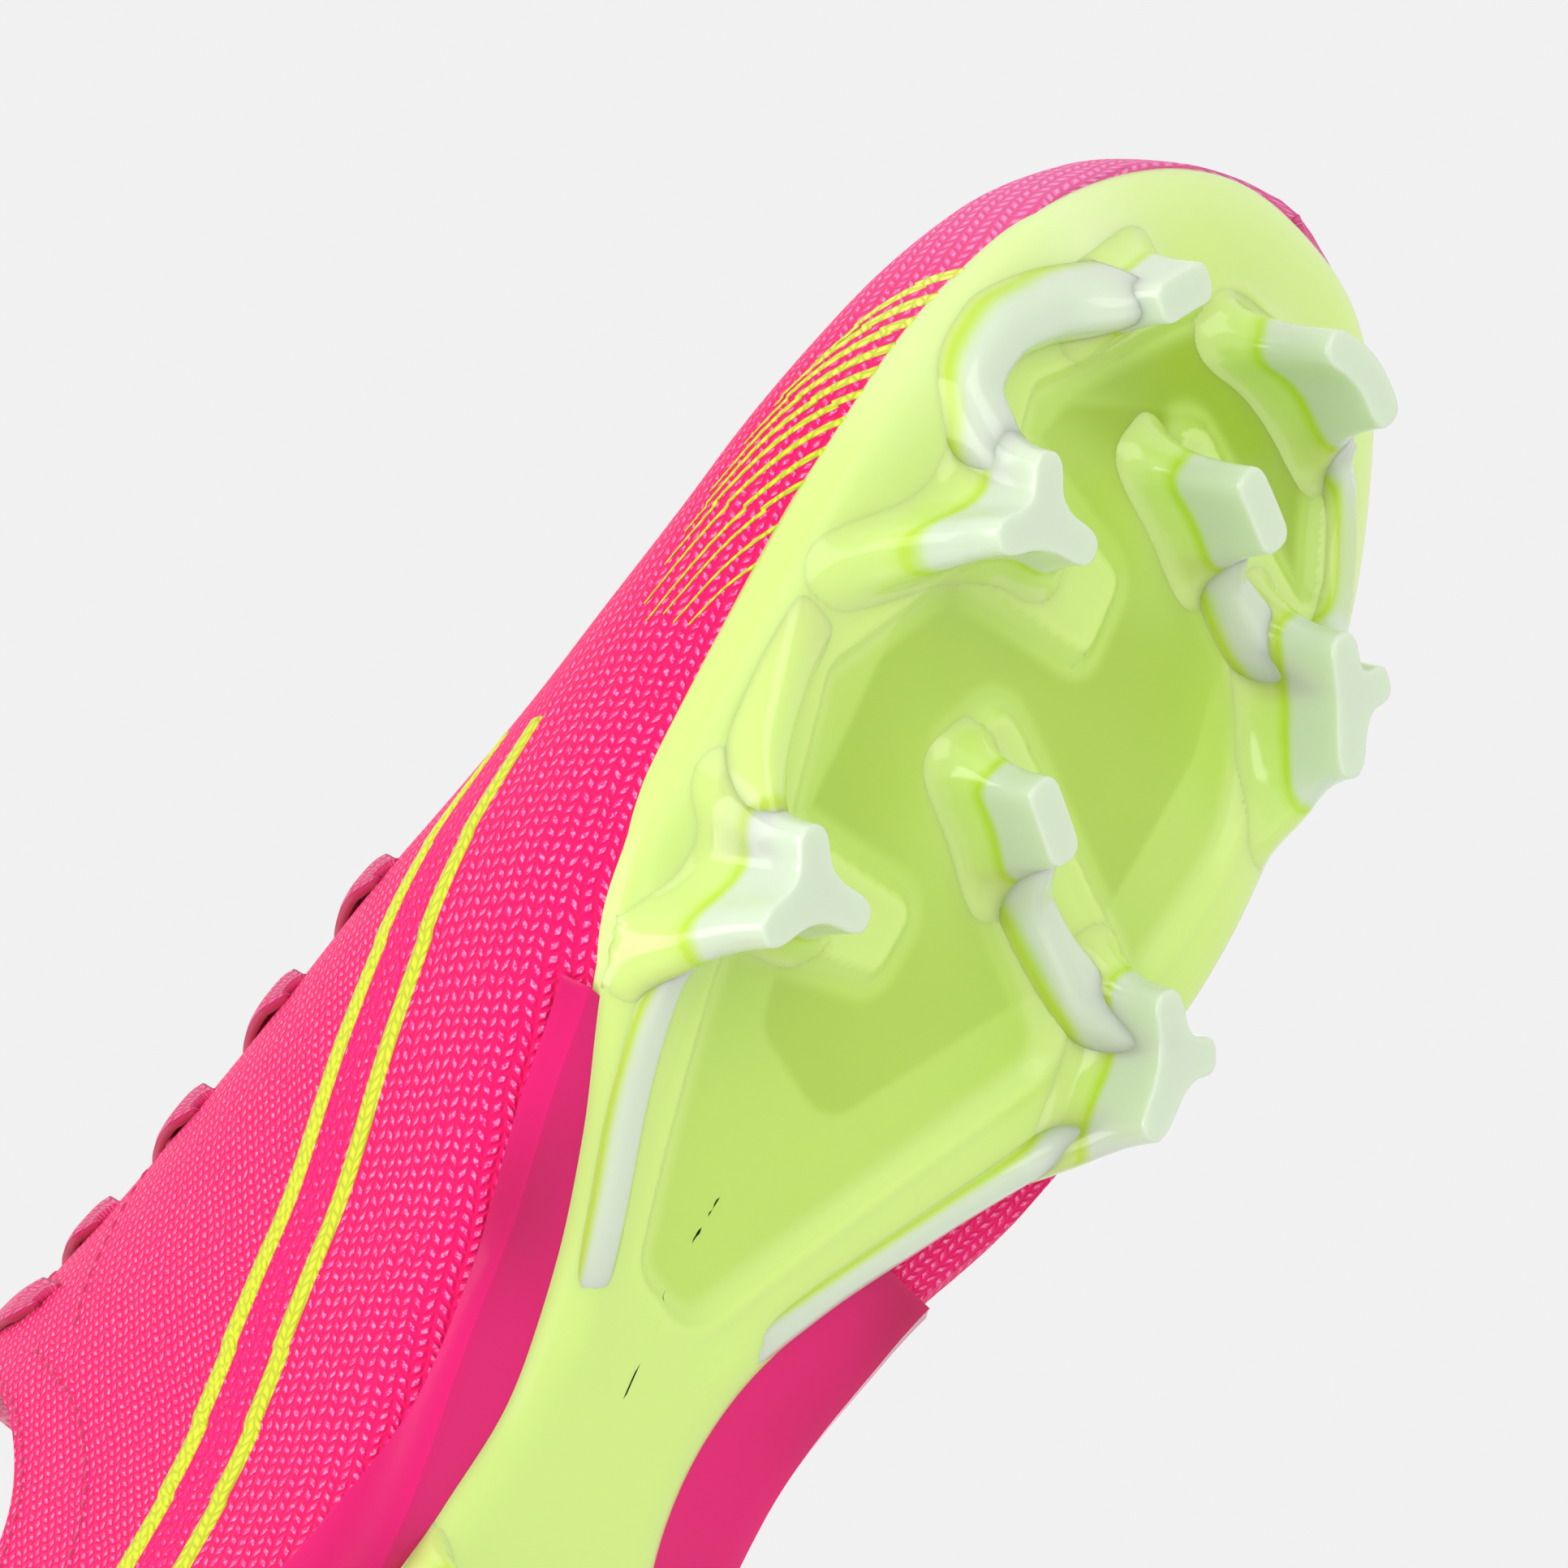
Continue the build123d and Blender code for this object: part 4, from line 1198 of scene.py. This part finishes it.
# ---------------------------------------------------------------------------
# Stitch rows, grown along an edge by Geometry Nodes
# ---------------------------------------------------------------------------
def stitch_tree():
    """Tree that lays short rounded stitches along a line of edges."""
    tree = bpy.data.node_groups.new("Stitch_row", "GeometryNodeTree")
    tree.interface.new_socket("Line", in_out="INPUT", socket_type="NodeSocketGeometry")
    for name, value in (("Pitch", 0.0026), ("Stitch length", 0.0019), ("Thread radius", 0.00035)):
        socket = tree.interface.new_socket(name, in_out="INPUT", socket_type="NodeSocketFloat")
        socket.default_value = value
        socket.subtype = "DISTANCE"
    tree.interface.new_socket("Thread", in_out="INPUT", socket_type="NodeSocketMaterial")
    tree.interface.new_socket("Stitches", in_out="OUTPUT", socket_type="NodeSocketGeometry")
    inside = add_node(tree, "NodeGroupInput")
    line = add_node(tree, "GeometryNodeMeshToCurve", {"Mesh": inside.outputs["Line"]})
    spaced = add_node(tree, "GeometryNodeCurveToPoints",
                      {"Curve": line.outputs[0], "Length": inside.outputs["Pitch"]}, mode="LENGTH")
    half = add_node(tree, "ShaderNodeMath", {0: inside.outputs["Stitch length"], 1: 0.5},
                    operation="MULTIPLY")
    bead = add_node(tree, "GeometryNodeMeshUVSphere",
                    {"Segments": 6, "Rings": 4, "Radius": inside.outputs["Thread radius"]})
    stretch = add_node(tree, "ShaderNodeMath", {0: half.outputs[0], 1: inside.outputs["Thread radius"]},
                       operation="DIVIDE")
    size = add_node(tree, "ShaderNodeCombineXYZ", {0: 1.0, 1: 1.0, 2: stretch.outputs[0]})
    placed = add_node(tree, "GeometryNodeInstanceOnPoints",
                      {"Points": spaced.outputs["Points"], "Instance": bead.outputs["Mesh"],
                       "Rotation": spaced.outputs["Rotation"], "Scale": size.outputs[0]})
    real = add_node(tree, "GeometryNodeRealizeInstances", {"Geometry": placed.outputs[0]})
    finish = add_node(tree, "GeometryNodeSetMaterial",
                      {"Geometry": real.outputs[0], "Material": inside.outputs["Thread"]})
    out = add_node(tree, "NodeGroupOutput")
    tree.links.new(finish.outputs[0], out.inputs[0])
    return tree


def stitch_rows(name, lines, thread, pitch=2.6, length=1.9, radius=0.35):
    """Rows of stitches along lines of points in millimetres, as one plain mesh."""
    points = np.concatenate(lines)
    edges = []
    start = 0
    for line in lines:
        edges += [[start + i, start + i + 1] for i in range(len(line) - 1)]
        start += len(line)
    mesh = bpy.data.meshes.new(name)
    mesh.from_pydata((points * MM).tolist(), edges, [])
    piece = add_object(name, mesh)
    tree = bpy.data.node_groups.get("Stitch_row") or stitch_tree()
    grown = piece.modifiers.new("Stitches", "NODES")
    grown.node_group = tree
    values = {"Pitch": pitch * MM, "Stitch length": length * MM, "Thread radius": radius * MM,
              "Thread": thread}
    for socket in tree.interface.items_tree:
        if socket.in_out == "INPUT" and socket.name in values:
            grown[socket.identifier] = values[socket.name]
    apply_modifiers(piece)
    piece.data.polygons.foreach_set("use_smooth", [True] * len(piece.data.polygons))
    return piece


def throat_line(side, margin, low, high, offset, count=80):
    """Points beside the throat, a set distance outside its edge."""
    line = []
    for x in np.linspace(low, high, count):
        edge = throat_edges(float(x), margin)[0 if side < 0 else 1]
        line.append(crossing(float(x), edge, edge, offset, 1)[0])
    return np.array(line)


def topline_line(side, drop, offset, count=150):
    """Points along the collar, a set distance below its edge."""
    line = []
    for x in station_spread(-140.5, -50, count):
        curve = side_curve(float(x), side, offset, 160)
        edge = crossing_index(curve[:, 2], topline_height(float(x), -drop))
        line.append(sample(curve, np.arange(len(curve)), edge))
    return np.array(line)


# ---------------------------------------------------------------------------
# Stage
# ---------------------------------------------------------------------------
CAMERA_PLACE = (-419.57, -757.95, -821.02)
CAMERA_RIGHT = (0.41203203, 0.56464769, -0.71512418)
CAMERA_UP = (0.82979733, -0.55673408, 0.03851703)
CAMERA_AHEAD = (0.37638545, 0.60927838, 0.69793542)


def add_camera():
    """Long lens low down behind the lateral forefoot, looking up at the sole."""
    data = bpy.data.cameras.new("Camera")
    data.lens = 242.62
    data.sensor_width = 36.0
    data.clip_end = 20.0
    camera = add_object("Camera", data)
    right, up, ahead = Vector(CAMERA_RIGHT), Vector(CAMERA_UP), Vector(CAMERA_AHEAD)
    turn = Matrix((right, up, -ahead)).transposed().to_4x4()
    camera.matrix_world = Matrix.Translation(Vector(CAMERA_PLACE) * MM) @ turn
    bpy.context.scene.camera = camera


def add_light(name, place, target, size, power):
    """Soft square lamp aimed at a point."""
    data = bpy.data.lights.new(name, "AREA")
    data.size = size
    data.energy = power
    lamp = add_object(name, data)
    aim = Vector(target) - Vector(place)
    lamp.matrix_world = Matrix.Translation(place) @ aim.to_track_quat("-Z", "Y").to_matrix().to_4x4()


# Seamless studio paper: matte and pale, seen from above only
def studio_paper(settings):
    finish, tree, shader = new_finish("Studio_paper", {"Roughness": 0.9})
    shader.inputs["Base Color"].default_value = tint(settings.paper)
    side = add_node(tree, "ShaderNodeNewGeometry").outputs["Backfacing"]
    clear = add_node(tree, "ShaderNodeBsdfTransparent")
    chosen = add_node(tree, "ShaderNodeMixShader",
                      {0: side, 1: shader.outputs[0], 2: clear.outputs[0]})
    out = [n for n in tree.nodes if n.type == "OUTPUT_MATERIAL"][0]
    tree.links.new(chosen.outputs[0], out.inputs["Surface"])
    return finish


def make_stage(settings):
    """Pale floor that is clear from below, soft lamps on every side and an even pale surround."""
    mesh = bpy.data.meshes.new("floor")
    half = 3.0
    mesh.from_pydata([(-half, -half, -0.0003), (half, -half, -0.0003), (half, half, -0.0003),
                      (-half, half, -0.0003)], [], [(0, 1, 2, 3)])
    floor = add_object("floor", mesh)
    coat(floor, studio_paper(settings))
    floor.visible_shadow = False
    floor.visible_diffuse = False
    floor.visible_transmission = False
    floor.visible_glossy = False
    world = bpy.data.worlds.new("Surround")
    bpy.context.scene.world = world
    world.use_nodes = True
    world.node_tree.nodes["Background"].inputs["Color"].default_value = tint(settings.paper)
    world.node_tree.nodes["Background"].inputs["Strength"].default_value = 1.0
    for name, place, size, power in (
            ("below_front", (0.35, -0.55, -0.75), 0.7, settings.lamp),
            ("below_back", (-0.5, 0.25, -0.7), 0.8, settings.lamp * 0.35),
            ("left_side", (-0.35, -0.9, 0.15), 0.8, settings.lamp * 2.3),
            ("over", (0.3, 0.3, 0.9), 1.0, settings.lamp * 0.6)):
        add_light(name, place, (0.04, 0.0, 0.03), size, power)
    bpy.context.scene.view_settings.view_transform = "Standard"


# ---------------------------------------------------------------------------
# Print and inner pieces
# ---------------------------------------------------------------------------
# where each line of the lateral fan starts at the plate, how far it runs back and up, its width
FAN = [
    (99.5, 20, 11.0, 1.6), (95.2, 23, 13.0, 1.7), (91.2, 25, 14.0, 1.6), (87.2, 28, 15.0, 1.5),
    (83.2, 30, 15.5, 1.4), (79.4, 31, 15.5, 1.2), (75.8, 33, 15.0, 1.1), (71.4, 31, 13.0, 1.0),
    (66.4, 25, 11.0, 0.85), (60.6, 20, 9.0, 0.75), (54.6, 14, 7.0, 0.65),
]
STRIPE_X = [-92, -52, -12, 28]
STRIPE_HEIGHTS = [33, 24]


def make_print(settings):
    """Fan of tapered lines over the lateral forefoot and two plain parallel stripes along each side."""
    pieces = []
    for number, (x, back, up, wide) in enumerate(FAN):
        path = [(x, -0.5), (x - back * 0.22, up * 0.36), (x - back * 0.55, up * 0.72), (x - back, up)]
        pieces.append(ribbon(f"fan_line_{number + 1}", -1, path, [wide, wide * 0.85, wide * 0.5, 0.18]))
    for side, word in ((-1, "lateral"), (1, "medial")):
        for number, up in enumerate(STRIPE_HEIGHTS):
            path = [(x, up) for x in STRIPE_X]
            wide = settings.stripe_width / MM
            pieces.append(ribbon(f"side_stripe_{word}_{number + 1}", side, path, [wide, wide], steps=110))
    return pieces


def make_insole(settings):
    """Foam insole with a brushed top, dished a little towards its middle."""
    around = 240
    edge = even_loop(closed_curve(OUTLINE, 16), around)
    direction, reach = rays(edge, smooth_ring(spine_point(edge), 25))
    low = PLATE + 0.6 + 1.4
    rings = []
    profile = [(8.5, 3.6), (7.4, 3.55), (6.7, 3.1), (6.5, 2.2), (6.5, 1.0), (6.8, 0.2), (7.6, 0.0)]
    for t in np.linspace(1, 0, 12)[:-1]:
        plan = edge + direction * (8.5 + (reach - 8.5) * t)
        dish = 0.5 * smooth_step(np.array(t))
        rings.append(np.column_stack([plan, underside(plan[:, 0]) + low + 3.6 - dish]))
    for inset, height in profile:
        plan = edge + direction * inset
        rings.append(np.column_stack([plan, underside(plan[:, 0]) + low + height]))
    for t in (0.2, 0.6, 1.0):
        plan = edge + direction * (7.6 + (reach - 7.6) * t)
        rings.append(np.column_stack([plan, underside(plan[:, 0]) + low]))
    points = np.concatenate(rings)
    faces = grid_faces(len(rings), around, wrap=True, flip=True)
    piece = add_piece("insole_foam", points, faces, uv=points[:, :2])
    weld_doubles(piece, 0.05)
    return piece


def make_lining(settings):
    """Brushed heel lining inside the collar, bonded to the counter behind it."""
    return two_sided_piece("heel_tricot", KNIT + 2 * 0.3 + 1.15, -142.0, -80.5, 70, 24,
                           lambda x: float(underside(np.array(x))) + 12.0,
                           lambda curve, x, side: crossing_index(curve[:, 2], 55.8), heel=True, thickness=0.9)


def make_counter(settings):
    """Stiff cup between the knit and the lining round the heel."""
    return two_sided_piece("heel_cup", KNIT + 0.35, -142.0, -88.5, 60, 20, lambda x: knit_bottom(x) + 1.6,
                           lambda curve, x, side: crossing_index(curve[:, 2], 53.8), heel=True, thickness=1.0)


# ---------------------------------------------------------------------------
# Panel, operators and the build
# ---------------------------------------------------------------------------
def colour_setting(name, text, code):
    return bpy.props.FloatVectorProperty(name=name, description=text, subtype="COLOR", size=3,
                                         min=0.0, max=1.0, default=colour(code)[:3])


class CleatSettings(bpy.types.PropertyGroup):
    plate_detail: bpy.props.IntProperty(
        name="Plate detail", description="Points round the sole plate", default=900, min=200, max=1400)
    knit_detail: bpy.props.IntProperty(
        name="Knit detail", description="Rows of points along the upper", default=240, min=80, max=400)
    stripe_width: bpy.props.FloatProperty(
        name="Stripe width", description="Width of the two side stripes", default=0.0028,
        min=0.001, max=0.006, subtype="DISTANCE", unit="LENGTH")
    stitch_pitch: bpy.props.FloatProperty(
        name="Stitch pitch", description="Distance between stitches", default=0.0026,
        min=0.0015, max=0.006, subtype="DISTANCE", unit="LENGTH")
    lamp: bpy.props.FloatProperty(
        name="Lamp power", description="Power of the main soft lamp", default=2.2, min=0.0, max=60.0,
        subtype="POWER", unit="POWER")
    knit: colour_setting("Knit", "Yarn of the upper", "#FF0C7E")
    knit_toe_sheen: colour_setting("Knit at the toe", "Paler yarn towards the toe", "#FB7FBE")
    knit_glint: colour_setting("Knit glint", "Bright fibre at the crown of a loop", "#FFBCE4")
    film: colour_setting("Film", "Printed film on the side", "#D6DF1C")
    film_toe: colour_setting("Film at the toe", "Printed film towards the toe", "#F6F68C")
    plate_pale_highlight: colour_setting("Plate rim", "Thin pale edge of the sole plate", "#E6F4BE")
    plate: colour_setting("Plate", "Raised faces of the sole plate", "#CBE67E")
    window: colour_setting("Window", "Sunk floor of the sole plate", "#BBDA62")
    window_dark: colour_setting("Deep window", "Floor over the air unit", "#9CBC2C")
    cap: colour_setting("Stud", "Milky overmoulding of the studs", "#CBD9C0")
    core: colour_setting("Stud core", "Lime core inside the studs", "#B9DA3C")
    cage: colour_setting("Cage", "Moulded cage", "#DC006C")
    cage_deep: colour_setting("Cage shade", "Thick parts of the cage", "#B40050")
    lace: colour_setting("Lace", "Lace and stitching", "#FF2F86")
    lace_deep: colour_setting("Lace shade", "Between the threads of the lace", "#C20A56")
    paper: colour_setting("Paper", "Floor and surround", "#F1F1F1")


class CLEAT_OT_plate(bpy.types.Operator):
    """Build the sole plate"""
    bl_idname = "cleat.plate"
    bl_label = "Sole plate"

    def execute(self, context):
        settings = context.scene.cleat
        piece = coat(make_plate(settings), lime_nylon(settings))
        settle(piece, "boot", "plate", "outsole_plate")
        return {"FINISHED"}


class CLEAT_OT_studs(bpy.types.Operator):
    """Build the milky stud mouldings"""
    bl_idname = "cleat.studs"
    bl_label = "Stud mouldings"

    def execute(self, context):
        finish = milky_tpu(context.scene.cleat)
        for node, (studs, rails) in CAP_NODES.items():
            settle(coat(make_cap(node, studs, rails), finish), "boot", "stud_cap", node)
        return {"FINISHED"}


class CLEAT_OT_upper(bpy.types.Operator):
    """Build the knitted upper"""
    bl_idname = "cleat.upper"
    bl_label = "Knitted upper"

    def execute(self, context):
        settings = context.scene.cleat
        settle(coat(make_upper(settings), pink_knit(settings)), "boot", "knit", "upper_knit")
        return {"FINISHED"}


class CLEAT_OT_print(bpy.types.Operator):
    """Print the yellow fan and the side stripes"""
    bl_idname = "cleat.print"
    bl_label = "Printed lines"

    def execute(self, context):
        settings = context.scene.cleat
        finish = yellow_film(settings)
        for piece in make_print(settings):
            settle(coat(piece, finish), "boot", "knit")
        return {"FINISHED"}


class CLEAT_OT_cage(bpy.types.Operator):
    """Build the glossy moulded cage"""
    bl_idname = "cleat.cage"
    bl_label = "Cage"

    def execute(self, context):
        settings = context.scene.cleat
        settle(coat(make_cage(settings), pink_tpu(settings)), "boot", "cage", "side_cage")
        return {"FINISHED"}


class CLEAT_OT_laces(bpy.types.Operator):
    """Lay the lace crossings"""
    bl_idname = "cleat.laces"
    bl_label = "Lace crossings"

    def execute(self, context):
        settings = context.scene.cleat
        finish = woven_lace(settings)
        for piece in make_laces(settings):
            settle(coat(piece, finish), "boot", "lace", "lace")
        return {"FINISHED"}


class CLEAT_OT_soft(bpy.types.Operator):
    """Build the tongue, collar, lining and insole"""
    bl_idname = "cleat.soft"
    bl_label = "Foam and lining"

    def execute(self, context):
        settings = context.scene.cleat
        pink = tricot("Pink_brushed_tricot", "#E0206F")
        dark = tricot("Plum_brushed_tricot", "#8E1450")
        tongue = settle(coat(make_tongue(settings), pink), "tongue", "lining", "tongue")
        collar = settle(coat(make_collar(settings), pink), "boot", "lining", "collar_padding")
        insole = settle(coat(make_insole(settings), dark), "insole", "insole_cloth", "insole")
        settle(coat(make_lining(settings), dark), "boot", "lining", "heel_lining")
        return {"FINISHED"}


class CLEAT_OT_inner(bpy.types.Operator):
    """Give the inner stiffeners and boards their finishes"""
    bl_idname = "cleat.inner"
    bl_label = "Inner boards"

    def execute(self, context):
        board = plain_board("Needle_punched_board", "#D9D2CC", 0.9)
        stiff = plain_board("Thermoplastic_stiffener", "#C9BDB6", 0.6)
        film = plain_board("Clear_urethane_film", "#DCE8C0", 0.2)
        settle(coat(make_counter(context.scene.cleat), stiff), "boot", "stiffener", "heel_counter")
        for node, finish in (("strobel_board", board), ("toe_puff", stiff), ("eyestay_lateral", stiff),
                             ("eyestay_medial", stiff), ("air_unit", film)):
            coat(bpy.data.objects[node], finish)
        return {"FINISHED"}


class CLEAT_OT_stitches(bpy.types.Operator):
    """Sew the rows beside the throat and round the collar"""
    bl_idname = "cleat.stitches"
    bl_label = "Stitch rows"

    def execute(self, context):
        settings = context.scene.cleat
        lines = [throat_line(side, margin, -46, 21, 0.05) for side in (-1, 1) for margin in (1.3, 8.8)]
        lines += [topline_line(side, drop, 0.05) for side in (-1, 1) for drop in (1.6, 14.0)]
        thread = woven_lace(settings)
        thread.name = "Pink_sewing_thread"
        piece = stitch_rows("stitch_rows", lines, thread, settings.stitch_pitch / MM)
        settle(piece, "boot", "lace")
        return {"FINISHED"}


class CLEAT_OT_stage(bpy.types.Operator):
    """Set the camera, lamps and floor"""
    bl_idname = "cleat.stage"
    bl_label = "Stage"

    def execute(self, context):
        add_camera()
        make_stage(context.scene.cleat)
        return {"FINISHED"}


class CLEAT_PT_panel(bpy.types.Panel):
    bl_label = "Cleat"
    bl_idname = "CLEAT_PT_panel"
    bl_space_type = "VIEW_3D"
    bl_region_type = "UI"
    bl_category = "Cleat"

    def draw(self, context):
        for operator in OPERATORS:
            self.layout.operator(operator.bl_idname)
        for name in CleatSettings.__annotations__:
            self.layout.prop(context.scene.cleat, name)


OPERATORS = (CLEAT_OT_stage, CLEAT_OT_plate, CLEAT_OT_studs, CLEAT_OT_upper, CLEAT_OT_print, CLEAT_OT_cage,
             CLEAT_OT_laces, CLEAT_OT_soft, CLEAT_OT_inner, CLEAT_OT_stitches)
CLASSES = (CleatSettings, *OPERATORS, CLEAT_PT_panel)


def register():
    for item in CLASSES:
        bpy.utils.register_class(item)
    bpy.types.Scene.cleat = bpy.props.PointerProperty(type=CleatSettings)


def unregister():
    del bpy.types.Scene.cleat
    for item in reversed(CLASSES):
        bpy.utils.unregister_class(item)


def main():
    register()
    for operator in OPERATORS:
        group, name = operator.bl_idname.split(".")
        getattr(getattr(bpy.ops, group), name)()


if __name__ == "__main__":
    main()
